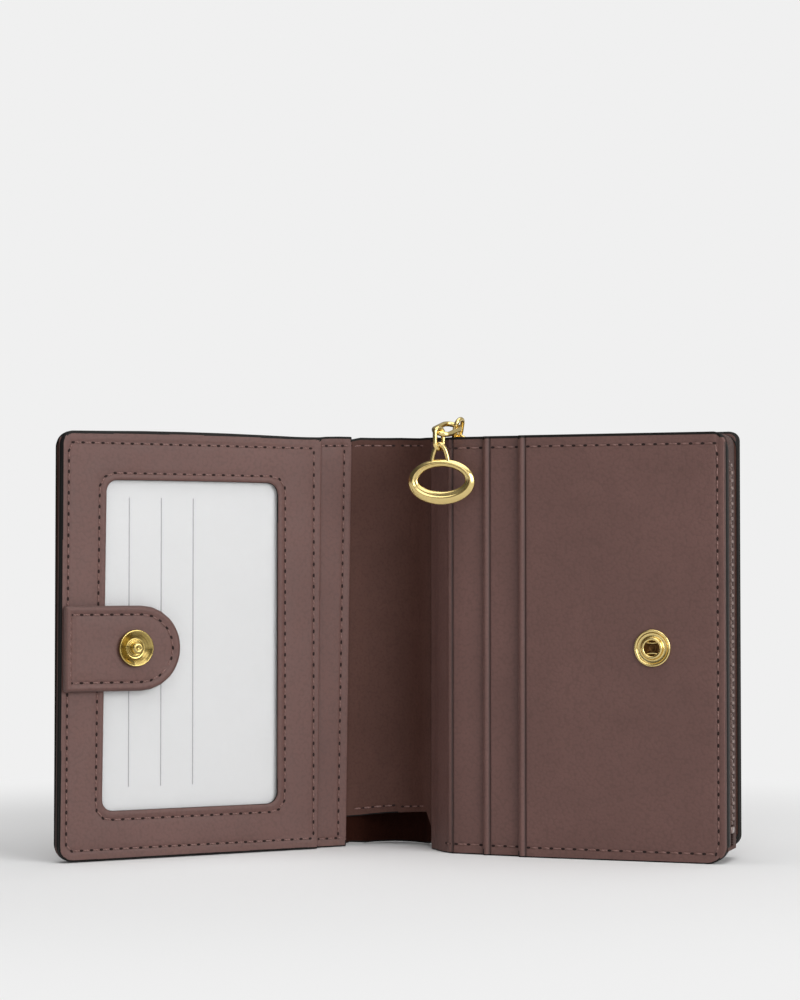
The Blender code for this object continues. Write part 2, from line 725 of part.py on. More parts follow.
# Charm: an oval hoop, thicker at its foot, with a bail over its top
def make_charm(frame):
    centre = -CHARM_DROP - CHARM_HEIGHT / 2
    path, wire = [], []
    for k in range(HOOP_STEPS):
        a = 2 * math.pi * k / HOOP_STEPS
        foot_share = (1 - math.cos(a)) / 2
        band = CHARM_BAND + (CHARM_FOOT_BAND - CHARM_BAND) * foot_share
        wide, tall = (CHARM_WIDTH - band) / 2, (CHARM_HEIGHT - band) / 2
        path.append(Vector((wide * math.sin(a), 0.0, centre + tall * math.cos(a))))
        wire.append((band / 2, CHARM_THICKNESS / 2))
    facing = Vector((0.0, 1.0, 0.0))
    hoop = loft("charm", frame, gold("charm"), tube_rings(path, wire, True, facing), closed=True)
    half = BAIL_WIDTH / 2
    foot = centre + (CHARM_HEIGHT - CHARM_BAND) / 2 - CHARM_BAND / 4
    path = []
    for k in range(LINK_STEPS + 1):
        a = math.pi * k / LINK_STEPS
        path.append(Vector((-half * math.cos(a), 0.0, foot * (1 - math.sin(a)))))
    wire = [(LINK_WIRE, LINK_WIRE)] * len(path)
    bail = loft("charm_bail", frame, gold("charm_bail"), tube_rings(path, wire, False, facing))
    combine(hoop, bail, "UNION")


# Spine: the outer leather bulges out behind the divider sheet
def make_spine(spine):
    backing = BLOCK_DEPTH - SPINE_AXIS_Y - BACK_COVER_LEATHER + (BACK_COVER_LEATHER - SPINE_LEATHER) / 2
    near_end = (CLEARANCE + SPINE_LEATHER / 2, -backing - SPINE_LEATHER / 2)
    far_end = (SPINE_CHORD - LAYER_GAP, -SPINE_END_DEPTH)
    line = arc_through(near_end, far_end, SPINE_BULGE)
    wall("spine_cover", spine, leather("spine_cover"), line, SPINE_LEATHER, (SPINE_LIFT, HEIGHT))
    line = arc_through((CLEARANCE, 0.0), (SPINE_CHORD - CLEARANCE, 0.0), DIVIDER_BULGE)
    wall("spine_divider", spine, lining("spine_divider"), line, DIVIDER_LEATHER,
         (DIVIDER_BOTTOM, INNER_HEIGHT), DIVIDER_SLOPE)


# Leaf: cover, divider sheet, pocket back, insert card, film and window frame, from the outside in
def make_leaf(leaf_frame):
    layers = leaf_layers()
    corners = (0.0, CORNER_RADIUS)
    leaf("front_cover", leaf_frame, leather("front_cover"), (FOLD_SETBACK, LEAF_LENGTH), layers["cover"],
         (0.0, HEIGHT), corners)
    leaf("front_divider", leaf_frame, lining("front_divider"), (CLEARANCE, LEAF_LENGTH),
         layers["divider"], (DIVIDER_BOTTOM, INNER_HEIGHT), corners)
    leaf("id_pocket_back", leaf_frame, leather("id_pocket_back"),
         (POCKET_BACK_SETBACK, LEAF_LENGTH), layers["pocket_back"], (0.0, HEIGHT), corners)
    card_right = LEAF_LENGTH - CARD_LEFT
    window = (WINDOW_BOTTOM, HEIGHT - WINDOW_TOP_BORDER)
    card_low = (window[0] + window[1] - CARD_HEIGHT) / 2
    leaf("insert_card", leaf_frame, make_material("insert_card", CARD_WHITE, 0.7),
         (card_right - CARD_WIDTH, card_right), layers["card"], (card_low, card_low + CARD_HEIGHT),
         (CARD_RADIUS, CARD_RADIUS))
    opening = (WINDOW_FRAME_SETBACK + WINDOW_FOLD_BORDER, LEAF_LENGTH - WINDOW_LEFT)
    leaf("id_window_film", leaf_frame, make_material("id_window_film", CLEAR_FILM, 0.1),
         (opening[0] - FILM_MARGIN, opening[1] + FILM_MARGIN), layers["film"],
         (window[0] - FILM_MARGIN, window[1] + FILM_MARGIN), (WINDOW_RADIUS, WINDOW_RADIUS))
    frame = leaf("id_window_frame", leaf_frame, leather("id_window_frame"),
                 (WINDOW_FRAME_SETBACK, LEAF_LENGTH), layers["frame"], (0.0, HEIGHT), corners)
    depth = (layers["frame"][0] - OVERRUN, layers["frame"][1] + OVERRUN)
    cutter = leaf("window_opening", leaf_frame, leather("window_opening"), opening, depth,
                  window, (WINDOW_RADIUS, WINDOW_RADIUS))
    combine(frame, cutter, "DIFFERENCE")
    near = layers["frame"][1] + LAYER_GAP
    leaf("tab_root", leaf_frame, leather("tab_root"),
         (LEAF_LENGTH - TAB_START - TAB_ROOT, LEAF_LENGTH - TAB_START), (near, near + 2 * tab_half()),
         (TAB_CENTRE - TAB_HEIGHT / 2, TAB_CENTRE + TAB_HEIGHT / 2))


# Tab: two leathers with a round end, folding at the leaf's outer edge. Here y points to the leaf.
def tab_sheet(frame, name, material, y):
    length = TAB_END - TAB_START - TAB_ROOT - CLEARANCE - tab_half()
    half = TAB_HEIGHT / 2
    straight = length - half
    rings = []
    places = [(0.0, half), (straight, half)]
    for k in range(1, ARC_STEPS):
        a = math.pi / 2 * k / ARC_STEPS
        places.append((straight + half * math.sin(a), half * math.cos(a)))
    for x, reach in places:
        rings.append([(x, y[0], -reach), (x, y[1], -reach), (x, y[1], reach), (x, y[0], reach)])
    return loft(name, frame, material, rings)


def make_tab(frame):
    half = tab_half()
    outer = (-half, -half + TAB_LEATHER)
    inner = (half - TAB_BACKING, half)
    face = tab_sheet(frame, "tab_face", leather("tab_face"), outer)
    backing = tab_sheet(frame, "tab_backing", leather("tab_backing"), inner)
    centre = (SNAP_FROM_EDGE - TAB_START - TAB_ROOT - CLEARANCE - half, 0.0)
    for sheet, name, radius in ((face, "shank_hole", RIVET_SHANK), (backing, "rivet_hole", RIVET_RADIUS)):
        hole = [(-half - OVERRUN, radius + CLEARANCE), (half + OVERRUN, radius + CLEARANCE)]
        combine(sheet, stacked(name, frame, leather(name), centre, hole), "DIFFERENCE")
    surface = outer[0] - CONTACT_GAP
    rivet_face = inner[0] + LAYER_GAP / 2
    rivet = [
        (rivet_face + SNAP_FLANGE, RIVET_RADIUS),
        (rivet_face, RIVET_RADIUS),
        (rivet_face, RIVET_SHANK),
        (surface - SNAP_FLANGE, RIVET_SHANK),
    ]
    stacked("snap_stud_rivet", frame, gold("snap_stud_rivet"), centre, rivet)
    bore = RIVET_SHANK + CONTACT_GAP
    tip = surface - SNAP_FLANGE - STUD_HEIGHT
    head = tip + STUD_HEIGHT / 2
    stud = [
        (surface, SNAP_RADIUS),
        (surface - SNAP_FLANGE / 2, SNAP_RADIUS),
        (surface - SNAP_FLANGE, SNAP_RADIUS - STUD_RIM / 2),
        (surface - SNAP_FLANGE + STUD_DISH, SNAP_RADIUS - STUD_RIM),
        (surface - SNAP_FLANGE + STUD_DISH, STUD_FOOT),
        (surface - SNAP_FLANGE, STUD_NECK),
        (head + LAYER_GAP, STUD_NECK),
        (head, STUD_POST),
        (tip + LAYER_GAP, STUD_POST),
        (tip, STUD_NECK),
    ]
    post = stacked("snap_stud", frame, gold("snap_stud"), centre, stud)
    blind = [(surface + OVERRUN, bore), (surface - SNAP_FLANGE, bore)]
    combine(post, stacked("stud_bore", frame, gold("stud_bore"), centre, blind), "DIFFERENCE")


def stand_on_origin(root):
    """Moves the root so that the middle of the whole wallet's base is at the origin."""
    bpy.context.view_layer.update()
    graph = bpy.context.evaluated_depsgraph_get()
    corners = []
    for thing in bpy.data.objects:
        if thing.type == "MESH" and not thing.hide_render:
            shape = thing.evaluated_get(graph)
            corners += [thing.matrix_world @ vertex.co for vertex in shape.data.vertices]
    spread = np.array(corners)
    middle = (spread.min(axis=0) + spread.max(axis=0)) / 2
    root.location = (-middle[0], -middle[1], -spread[:, 2].min())


def main():
    clear_objects()
    frames = make_frames()
    block = frames["block"]
    make_back_cover(block)
    make_divider_back(block)
    make_card_slots(block)
    make_socket(block)
    make_gussets(block)
    make_zip(block)
    slider = axis_frame("zip_slider_start", block, (SLIDER_LEFT, zip_middle(), zip_top()), 0.0)
    make_slider(slider)
    make_chain(slider)
    make_spine(frames["spine"])
    make_leaf(frames["leaf"])
    make_tab(frames["tab"])
    stand_on_origin(block)


main()
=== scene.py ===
import json
import math
import bmesh
import bpy
import numpy as np
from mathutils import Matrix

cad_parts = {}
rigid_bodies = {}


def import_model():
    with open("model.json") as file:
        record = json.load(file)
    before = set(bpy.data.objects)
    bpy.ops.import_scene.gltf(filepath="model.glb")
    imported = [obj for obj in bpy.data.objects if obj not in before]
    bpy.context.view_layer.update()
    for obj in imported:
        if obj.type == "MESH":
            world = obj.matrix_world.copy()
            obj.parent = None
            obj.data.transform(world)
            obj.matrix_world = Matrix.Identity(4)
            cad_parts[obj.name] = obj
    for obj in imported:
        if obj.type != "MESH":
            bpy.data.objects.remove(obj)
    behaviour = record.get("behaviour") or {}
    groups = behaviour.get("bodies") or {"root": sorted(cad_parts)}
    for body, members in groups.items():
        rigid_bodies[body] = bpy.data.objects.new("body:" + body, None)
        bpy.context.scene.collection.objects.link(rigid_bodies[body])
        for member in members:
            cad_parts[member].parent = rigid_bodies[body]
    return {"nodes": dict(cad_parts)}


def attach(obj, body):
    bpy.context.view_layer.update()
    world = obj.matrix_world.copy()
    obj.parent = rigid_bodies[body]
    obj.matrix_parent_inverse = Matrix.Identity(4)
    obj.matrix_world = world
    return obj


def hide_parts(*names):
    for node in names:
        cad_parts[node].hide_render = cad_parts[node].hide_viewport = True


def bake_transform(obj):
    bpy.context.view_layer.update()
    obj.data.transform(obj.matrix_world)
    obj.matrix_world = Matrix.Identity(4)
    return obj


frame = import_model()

for left_over in [thing for thing in bpy.data.objects if thing.name in ("Cube", "Light", "Camera")]:
    bpy.data.objects.remove(left_over)
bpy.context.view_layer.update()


# Camera. A long lens a little above the table, almost level, as the photograph was taken.
photo_camera = bpy.data.objects.new("photo_camera", bpy.data.cameras.new("photo_camera"))
bpy.context.scene.collection.objects.link(photo_camera)
photo_camera.data.lens = 90.0
photo_camera.data.sensor_width = 36.0
photo_camera.data.clip_start = 0.01
photo_camera.data.clip_end = 20.0
photo_camera.location = (-0.000206, -0.571465, 0.0621)
photo_camera.rotation_euler = (math.radians(90.0 + 1.83), 0.0, 0.0)
bpy.context.scene.camera = photo_camera
bpy.context.scene.view_settings.view_transform = "Standard"


class Signal:
    """A node's output that adds, subtracts, multiplies and compares like a number, by Math nodes."""

    def __init__(self, nodes, socket):
        self.nodes, self.socket = nodes, socket

    def sum(self, operation, *others):
        values = dict(enumerate((self, *others)))
        return self.nodes.node("ShaderNodeMath", {"operation": operation}, values)

    def __add__(self, other):
        return self.sum("ADD", other)

    def __sub__(self, other):
        return self.sum("SUBTRACT", other)

    def __mul__(self, other):
        return self.sum("MULTIPLY", other)

    def __rsub__(self, other):
        return self.nodes.node("ShaderNodeMath", {"operation": "SUBTRACT"}, {0: other, 1: self})

    def __gt__(self, other):
        return self.sum("GREATER_THAN", other)

    __radd__, __rmul__ = __add__, __mul__

    def ranged(self, low, high, top=1.0, kind="LINEAR"):
        """0 where the signal is at or below the low value, and rising to the top at the high one."""
        return self.nodes.node("ShaderNodeMapRange", {"interpolation_type": kind},
                               {0: self, 1: low, 2: high, 3: 0.0, 4: top})


class Nodes:
    """A node tree, to which node() adds nodes."""

    def __init__(self, tree):
        self.tree = tree

    def node(self, kind, settings=None, values=None, output=0):
        """Adds a node, sets its settings, then its sockets, and gives one of its outputs as a Signal."""
        made = self.tree.nodes.new(kind)
        for key, setting in (settings or {}).items():
            if key == "stops":
                for element, (place, colour) in zip(made.color_ramp.elements, setting):
                    element.position, element.color = place, (*colour, 1.0)
            else:
                setattr(made, key, setting)
        for key, value in (values or {}).items():
            self.feed(made.inputs[key], value)
        return Signal(self, made.outputs[output])

    def feed(self, socket, value):
        """Links a Signal to a socket, or sets the socket's own value."""
        if isinstance(value, Signal):
            self.tree.links.new(value.socket, socket)
        elif socket.type == "RGBA":
            socket.default_value = (*value, 1.0)
        else:
            socket.default_value = value

    def rays(self, *kinds):
        """1 for rays of these kinds and 0 for all others."""
        path = self.tree.nodes.new("ShaderNodeLightPath")
        seen = [Signal(self, path.outputs[f"Is {kind} Ray"]) for kind in kinds]
        for other in seen[1:]:
            seen[0] = seen[0].sum("MAXIMUM", other)
        return seen[0]


class Finish(Nodes):
    """One material, whose Principled shader takes what set() gives it."""

    def __init__(self, name):
        self.material = bpy.data.materials.new(name)
        self.material.use_nodes = True
        super().__init__(self.material.node_tree)
        self.shader = self.tree.nodes["Principled BSDF"]

    def set(self, **values):
        for key, value in values.items():
            self.feed(self.shader.inputs[key.replace("_", " ")], value)
        return self

    def place(self):
        return self.node("ShaderNodeTexCoord", output="Object")

    def noise(self, where, scale, detail=2.0, roughness=0.5):
        return self.node("ShaderNodeTexNoise", {}, {"Vector": where, "Scale": scale, "Detail": detail,
                                                    "Roughness": roughness})

    def mix(self, share, first, second):
        """A colour between the first and the second, by the share of the second."""
        return self.node("ShaderNodeMix", {"data_type": "RGBA"},
                         {0: share, 6: first, 7: second}, output=2)

    def bump(self, height, depth, strength):
        return self.node("ShaderNodeBump", {},
                         {"Height": height, "Distance": depth, "Strength": strength})


# Floor and light. A pale table that fades into a white backdrop, under a wide lamp from above
# and two soft ones from the right and the front, as for a shop's photograph.
BACKDROP, TABLE_HALF = 0.871, 4.0
floor = bpy.data.objects.new("floor", bpy.data.meshes.new("floor"))
corners = [(x * TABLE_HALF, y * TABLE_HALF, 0.0) for x, y in ((-1, -1), (1, -1), (1, 1), (-1, 1))]
floor.data.from_pydata(corners, [], [(0, 1, 2, 3)])
bpy.context.scene.collection.objects.link(floor)
table = Finish("pale_floor").set(Base_Color=(0.80, 0.80, 0.80), Roughness=0.9, Specular_IOR_Level=0.1)
from_middle = table.node("ShaderNodeVectorMath", {"operation": "LENGTH"}, {0: table.place()}, output=1)
fade = from_middle.ranged(0.10, 0.24, kind="SMOOTHSTEP")
glow = table.node("ShaderNodeEmission", {}, {"Color": (BACKDROP,) * 3, "Strength": 1.0})
faded = table.node("ShaderNodeMixShader", {}, {0: table.rays("Camera", "Glossy", "Transmission") * fade,
                                               1: Signal(table, table.shader.outputs[0]), 2: glow})
table.feed(table.tree.nodes["Material Output"].inputs["Surface"], faded)
floor.data.materials.append(table.material)

# The world lights all pieces evenly, shines in the gold as a room that brightens to one side, and looks
# white behind them.
world = bpy.data.worlds.new("white_room")
bpy.context.scene.world = world
world.use_nodes = True
room = Nodes(world.node_tree)
room.tree.nodes.remove(room.tree.nodes["Background"])
even_light = room.node("ShaderNodeBackground", {}, {"Color": (1.0, 1.0, 1.0), "Strength": 0.36})
tilted = room.node("ShaderNodeMapping", {}, {
    "Vector": room.node("ShaderNodeTexCoord", output="Generated"), "Location": (0.40, 0.0, 0.0),
    "Rotation": (0.0, math.radians(30.0), math.radians(11.5))})
walls = room.node("ShaderNodeValToRGB", {"stops": [
    (share, (tone, tone, tone * 0.98)) for share, tone in ((0.10, 0.09), (0.90, 0.52))]}, {
    "Fac": room.node("ShaderNodeTexGradient", {"gradient_type": "LINEAR"}, {"Vector": tilted})})
mirrored = room.node("ShaderNodeBackground", {}, {"Color": walls})
white = room.node("ShaderNodeBackground", {}, {"Color": (BACKDROP,) * 3, "Strength": 1.0})
lit = room.node("ShaderNodeMixShader", {}, {0: room.rays("Glossy"), 1: even_light, 2: mirrored})
seen = room.node("ShaderNodeMixShader", {}, {0: room.rays("Camera", "Transmission"), 1: lit, 2: white})
room.feed(room.tree.nodes["World Output"].inputs["Surface"], seen)

for lamp_name, watts, size, where, aim in (
        ("overhead_softbox", 4.9, 0.9, (0.1, -0.15, 0.95), (0.0, 0.0, 0.0)),
        ("right_softbox", 7.3, 0.6, (0.75, -0.80, 0.40), (0.0, 0.0, 0.05)),
        ("front_softbox", 2.6, 0.7, (-0.05, -1.30, 0.80), (0.0, 0.0, 0.05))):
    lamp = bpy.data.objects.new(lamp_name, bpy.data.lights.new(lamp_name, "AREA"))
    lamp.data.energy, lamp.data.size = watts, size
    lamp.location = where
    east, north, up = np.array(aim) - np.array(where)
    tip, turn = math.atan2(math.hypot(east, north), -up), math.atan2(north, east) - math.pi / 2
    lamp.rotation_euler = (tip, 0.0, turn)
    bpy.context.scene.collection.objects.link(lamp)


# Back cover. The outer leather behind the coin pocket: two faces of brown calf on a stiff core,
# with rounded edges under black edge paint. It runs on round the spine, up to the spine's middle.
HEIGHT = 95.0


def unit(v):
    """Vectors shrunk to length 1."""
    return v / np.linalg.norm(v, axis=-1, keepdims=True)


def measured(line):
    """The distance along a line from its first point to each of its points."""
    return np.concatenate(([0.0], np.cumsum(np.linalg.norm(np.diff(line, axis=0), axis=1))))


def along_run(x, run, values):
    """The values, one row for each distance of the run, taken at the distances x."""
    return np.stack([np.interp(x, run, column) for column in values.T], axis=-1)


def standing(on_table, foot=None, head=None, slip=None):
    """Gives the function that places (distance, depth, height) in mm, where on_table gives the place on
    the table. slip is a small move along the distance. Hand-made leather isn't cut dead straight: foot
    gives the rise near the foot, which fades as (1 - z/H) cubed, and head the rise near the head, which
    fades as z/H to the eighth."""
    def place(x, depth, z):
        x, depth, z = np.broadcast_arrays(x, depth, z)
        share = np.clip(z / HEIGHT, 0.0, 1.0)
        low, high = (rise(x) if rise else 0.0 for rise in (foot, head))
        height = z + low * (1.0 - share) ** 3 + high * share ** 8
        spot = on_table(x + slip(x, z) if slip else x, depth)
        return np.concatenate((spot, height[..., None]), axis=-1) * 0.001
    return place


def side(origin, along, outward, foot=None, head=None, slip=None):
    """One flat side of the wallet: the origin plus the distance times the side's direction plus the
    depth times its normal."""
    origin, along, outward = np.array(origin), np.array(along), np.array(outward)

    def on_table(x, depth):
        return origin + x[..., None] * along + depth[..., None] * outward
    return standing(on_table, foot, head, slip)


def along_line(points, smooth, foot=None, head=None, slip=None):
    """A side bent in plan along a line, with depth measured along its normal. The line is resampled
    every 0.1 mm, and each point becomes the mean of its neighbours within half the smoothing length."""
    points = points[np.concatenate(([True], np.diff(measured(points)) > 1e-6))]
    run = measured(points)
    dense = along_run(np.linspace(0.0, run[-1], int(run[-1] / 0.1) + 2), run, points)
    half = int(smooth / 0.2)
    first = dense[0] + (dense[0] - dense[1]) * np.arange(half, 0, -1)[:, None]
    last = dense[-1] + (dense[-1] - dense[-2]) * np.arange(1, half + 1)[:, None]
    total = np.cumsum(np.concatenate((np.zeros((1, 2)), first, dense, last)), axis=0)
    width = 2 * half + 1
    dense = (total[width:] - total[:-width]) / width
    run = measured(dense)
    ahead = unit(np.gradient(dense, run, axis=0))
    normal = np.stack((-ahead[:, 1], ahead[:, 0]), axis=1)

    def on_table(x, depth):
        return along_run(x, run, dense) + depth[..., None] * along_run(x, run, normal)
    place = standing(on_table, foot, head, slip)
    place.length = run[-1]
    return place


def surface(name, points, closed=(False, False), number=None, uv=None, finishes=(), sharp=50.0,
            crease_burn_and_shade=None):
    """Puts grids of points, shaped (copies, rows, columns, 3) or (rows, columns, 3), into one mesh of
    quads. A closed direction joins its last line to its first, and equal points become one. Holes
    that are left are filled. number gives each face the number of its finish."""
    points = np.asarray(points, float)
    points = points.reshape((-1, *points.shape[-3:]))
    copies, rows, columns = points.shape[:3]
    first, second = np.meshgrid(np.arange(rows if closed[0] else rows - 1),
                                np.arange(columns if closed[1] else columns - 1), indexing="ij")
    after, beside = (first + 1) % rows, (second + 1) % columns
    corner = np.stack((first * columns + second, after * columns + second,
                       after * columns + beside, first * columns + beside), axis=-1).reshape(-1, 4)
    faces = (corner[None] + (np.arange(copies) * rows * columns)[:, None, None]).reshape(-1, 4)
    mesh = bpy.data.meshes.new(name)
    mesh.vertices.add(copies * rows * columns)
    mesh.vertices.foreach_set("co", points.ravel())
    mesh.loops.add(faces.size)
    mesh.loops.foreach_set("vertex_index", faces.ravel())
    mesh.polygons.add(len(faces))
    mesh.polygons.foreach_set("loop_start", np.arange(0, faces.size, 4))
    if number is not None:
        mesh.polygons.foreach_set("material_index", number[first, second].ravel().astype(int))
    mesh.update()
    # A point attribute that darkens the colour along creases, partly as painted shade.
    if crease_burn_and_shade is not None:
        layer = mesh.attributes.new("crease_burn_and_shade", "FLOAT", "POINT")
        layer.data.foreach_set("value", crease_burn_and_shade.ravel().astype(np.float32))
    if uv is not None:
        layer = mesh.uv_layers.new(name="cloth")
        layer.data.foreach_set("uv", uv.reshape(-1, 2)[faces.ravel()].ravel())
    work = bmesh.new()
    work.from_mesh(mesh)
    bmesh.ops.remove_doubles(work, verts=work.verts, dist=2e-6)
    bmesh.ops.dissolve_degenerate(work, dist=1e-7, edges=work.edges)
    rims = [edge for edge in work.edges if edge.is_boundary]
    if rims:
        for face in bmesh.ops.holes_fill(work, edges=rims, sides=0)["faces"]:
            face.material_index = 0 if number is None else 1
    bmesh.ops.recalc_face_normals(work, faces=work.faces)
    work.to_mesh(mesh)
    work.free()
    mesh.shade_smooth()
    mesh.set_sharp_from_angle(angle=math.radians(sharp))
    piece = bpy.data.objects.new(name, mesh)
    bpy.context.scene.collection.objects.link(piece)
    for finish in finishes:
        mesh.materials.append(finish.material)
    return piece


def stations(low, high, ends, marks, widest=3.0):
    """Places between two limits: fine steps at each end, seven about each mark, and even steps of at
    most the widest gap in what is left."""
    places = [low, high, *(low + e for e in ends), *(high - e for e in ends)]
    for mark, reach in marks:
        places += list(mark + reach * np.linspace(-1.0, 1.0, 7))
    places = np.unique(np.round([p for p in places if low <= p <= high], 4))
    places = places[np.concatenate(([True], np.diff(places) > 0.02))]
    filled = [places[:1]]
    for start, end in zip(places[:-1], places[1:]):
        filled.append(np.linspace(start, end, max(1, math.ceil((end - start) / widest)) + 1)[1:])
    return np.concatenate(filled)


def inset(x, z, box, radii, open_ends=(False, False)):
    """How far (x, z) lies inside a rectangle with rounded corners, in mm. The radii are those of the
    left and right corners, at the foot and then at the head. An end that is open, because the sheet
    goes on there, is counted as far away."""
    far = 60.0
    left, right = box[0] - far * open_ends[0], box[1] + far * open_ends[1]
    middle_x, middle_z, leftward = (left + right) / 2, (box[2] + box[3]) / 2, x < (box[0] + box[1]) / 2
    radius = np.where(z < middle_z, np.where(leftward, *radii[:2]), np.where(leftward, *radii[-2:]))
    across = np.abs(x - middle_x) - (right - left) / 2 + radius
    up = np.abs(z - middle_z) - (box[3] - box[2]) / 2 + radius
    outside = np.hypot(np.maximum(across, 0.0), np.maximum(up, 0.0))
    return radius - outside - np.minimum(np.maximum(across, up), 0.0)


# Points lie closer at the edges, round the corners and within this reach of a seam.
SEAM_REACH = 0.8
EDGE_STEPS = (0.02, 0.08, 0.18, 0.3, 0.42, 0.52, 0.62, 0.72, 0.85)
CORNER_STEPS = tuple(1.0 - math.cos(a) for a in np.linspace(0.25, math.pi / 2, 6))


def lapped(side_lap=0.32, foot_lap=0.45, head_lap=0.72, top=HEIGHT, bare_below=-1e3):
    """How far edge paint laps over the face: the head's edge is dipped deeper than the others, and a
    side edge nearer the fold than bare_below isn't painted."""
    at_end = 1.3
    return lambda z, x: np.where(z > top - at_end, head_lap, np.where(z < at_end, foot_lap, np.where(
        x < bare_below, -1.0, side_lap)))


def round_trip(front, back=None):
    """The columns of one face and then, in reverse, those of the other: a ring round the sheet."""
    return np.concatenate((front, (front if back is None else back)[:, ::-1]), axis=1)


def both_depths(faces, d, relief):
    """The depths of the (front, back) faces where the inset is d. Each stands off the middle depth by
    half the thickness times sqrt(1 - (1 - d/r)^2), where r is half the thickness, so that the edge is
    round. Relief is added to the front and fades towards the edge as d/r."""
    middle, half, toward = sum(faces) / 2, abs(faces[1] - faces[0]) / 2, np.sign(faces[0] - faces[1])
    share = np.minimum(d / half, 1.0)
    stand = half * np.sqrt(1.0 - (1.0 - share) ** 2)
    return round_trip(middle + toward * (stand + relief * share), middle - toward * stand)


def sheet(name, place, box, faces, finishes=(), radii=(0.0, 4.0), open_ends=(False, False),
          relief=None, marks=(), seam_rows=(), paint=lapped(), crease=None):
    """A sheet of leather whose outline is a rounded rectangle, of brown calf with black edges unless
    other finishes are given. Each row of points starts where the corners have cut the outline by
    r - sqrt(r^2 - i^2), with i the way into the corner, and that cut fades over the 8 mm above or below
    it. Points lie closer at the marks, which are (place, reach) pairs, and about the seam rows, which
    are distances from the foot and from the head."""
    left, right, foot, head = box
    tall = head - foot
    finishes = finishes or (BROWN_CALF, EDGE_PAINT)
    sewn = [(seam_rows[0], SEAM_REACH), (tall - seam_rows[1], SEAM_REACH)] if seam_rows else []
    x = stations(left, right, [*EDGE_STEPS, *(r * s for s in CORNER_STEPS for r in set(radii))], marks)

    def cut_by(corners):
        into = [np.clip(r - gap, 0.0, None) * (not is_open)
                for r, gap, is_open in zip(corners, (x - left, right - x), open_ends)]
        return sum(r - np.sqrt(np.clip(r ** 2 - i ** 2, 0.0, None))
                   for r, i in zip(corners, into))[:, None]

    cut, cut_head = cut_by(radii[:2]), cut_by(radii[-2:])
    low = stations(0.0, tall, EDGE_STEPS, sewn)
    reach = min(8.0, tall / 2)
    rows = np.where(low < tall / 2, cut * np.clip(1 - low / reach, 0.0, 1.0),
                    -cut_head * np.clip(1 - (tall - low) / reach, 0.0, 1.0)) + low
    squeezed = (tall / 2 - np.maximum(cut, cut_head)) < reach
    z = foot + np.where(squeezed, cut + low / tall * (tall - cut - cut_head), rows)
    x = np.broadcast_to(x[:, None], z.shape)
    d = np.maximum(inset(x, z, box, radii, open_ends), 0.0)
    ring_x, ring_z, inner = round_trip(x), round_trip(z), round_trip(d)
    depth = both_depths(faces, d, relief(x, z, d) if relief else 0.0)
    near = sum(np.roll(inner, shift, (0, 1)) for shift in ((0, 0), (0, -1), (-1, 0), (-1, -1))) / 4
    number = (near < (paint(ring_z, ring_x) if callable(paint) else paint)).astype(int)
    if len(finishes) > 2:
        back = number[:, z.shape[1]:]
        back[back == 0] = 2
    # The crease line darkens the colour: partly heat-burnish, partly painted shade in the crease.
    line = crease(x) if crease else 0.0 * x
    return surface(name, place(ring_x, depth, ring_z), (False, True), number, finishes=finishes,
                   crease_burn_and_shade=round_trip(line, 0.0 * line))


def furrow(distance, line, depth=0.13, width=0.5):
    """The thread pulls the leather down along a seam: a bell-shaped groove about the line."""
    return -depth * np.exp(-((distance - line) / width) ** 2)


def leather(name, colour, coarse=1.0):
    """Smooth calf: a pebble grain of small cells with fine pores, colour that drifts slowly and darkens
    in the valleys, and a gloss that is broken by the grain. Along pressed creases the colour is darkened,
    partly as heat-burnish and partly as painted shade in the crease."""
    finish = Finish(name)
    where = finish.place()

    def shade(share):
        return tuple(c * share for c in colour)

    cells = finish.node("ShaderNodeTexVoronoi", {"feature": "SMOOTH_F1"},
                        {"Vector": where, "Scale": 1500.0 / coarse, "Smoothness": 0.6})
    pores = finish.noise(where, 3800.0 / coarse, 3.0, 0.6)
    drift = finish.noise(where, 45.0, 3.0, 0.55)
    cloud = finish.noise(where, 260.0, 2.0, 0.5)
    slow = (drift * 0.65 + cloud * 0.35).ranged(0.32, 0.68)
    base = finish.mix(slow, shade(0.90), tuple(c + 0.003 for c in shade(1.08)))
    base = finish.mix(cells.ranged(0.45, 0.75, 0.28), base, shade(0.55))
    # The creases' darker colour is partly heat-burnish and partly painted shade.
    crease_burn_and_shade = finish.node("ShaderNodeAttribute", {"attribute_name": "crease_burn_and_shade"}, output="Fac")
    base = finish.mix(crease_burn_and_shade, base, shade(0.30))
    return finish.set(Base_Color=base, Roughness=0.47 + 0.16 * cloud + 0.10 * pores,
                      Normal=finish.bump(pores * 0.35 - cells * 0.65, 0.00009, 0.55))


def mottled(name, grain, dark, light, roughness, spread=0.0, relief=None, **more):
    """A finish made from one noise, whose (scale, detail, roughness) is the grain: its colour runs from
    dark to light with the noise, its roughness is a value plus the spread times the noise, and the
    relief is the (depth, strength) of its bump."""
    finish = Finish(name)
    noise = finish.noise(finish.place(), *grain)
    if relief:
        more["Normal"] = finish.bump(noise, *relief)
    return finish.set(Base_Color=finish.mix(noise, dark, light),
                      Roughness=roughness + spread * noise if spread else roughness, **more)


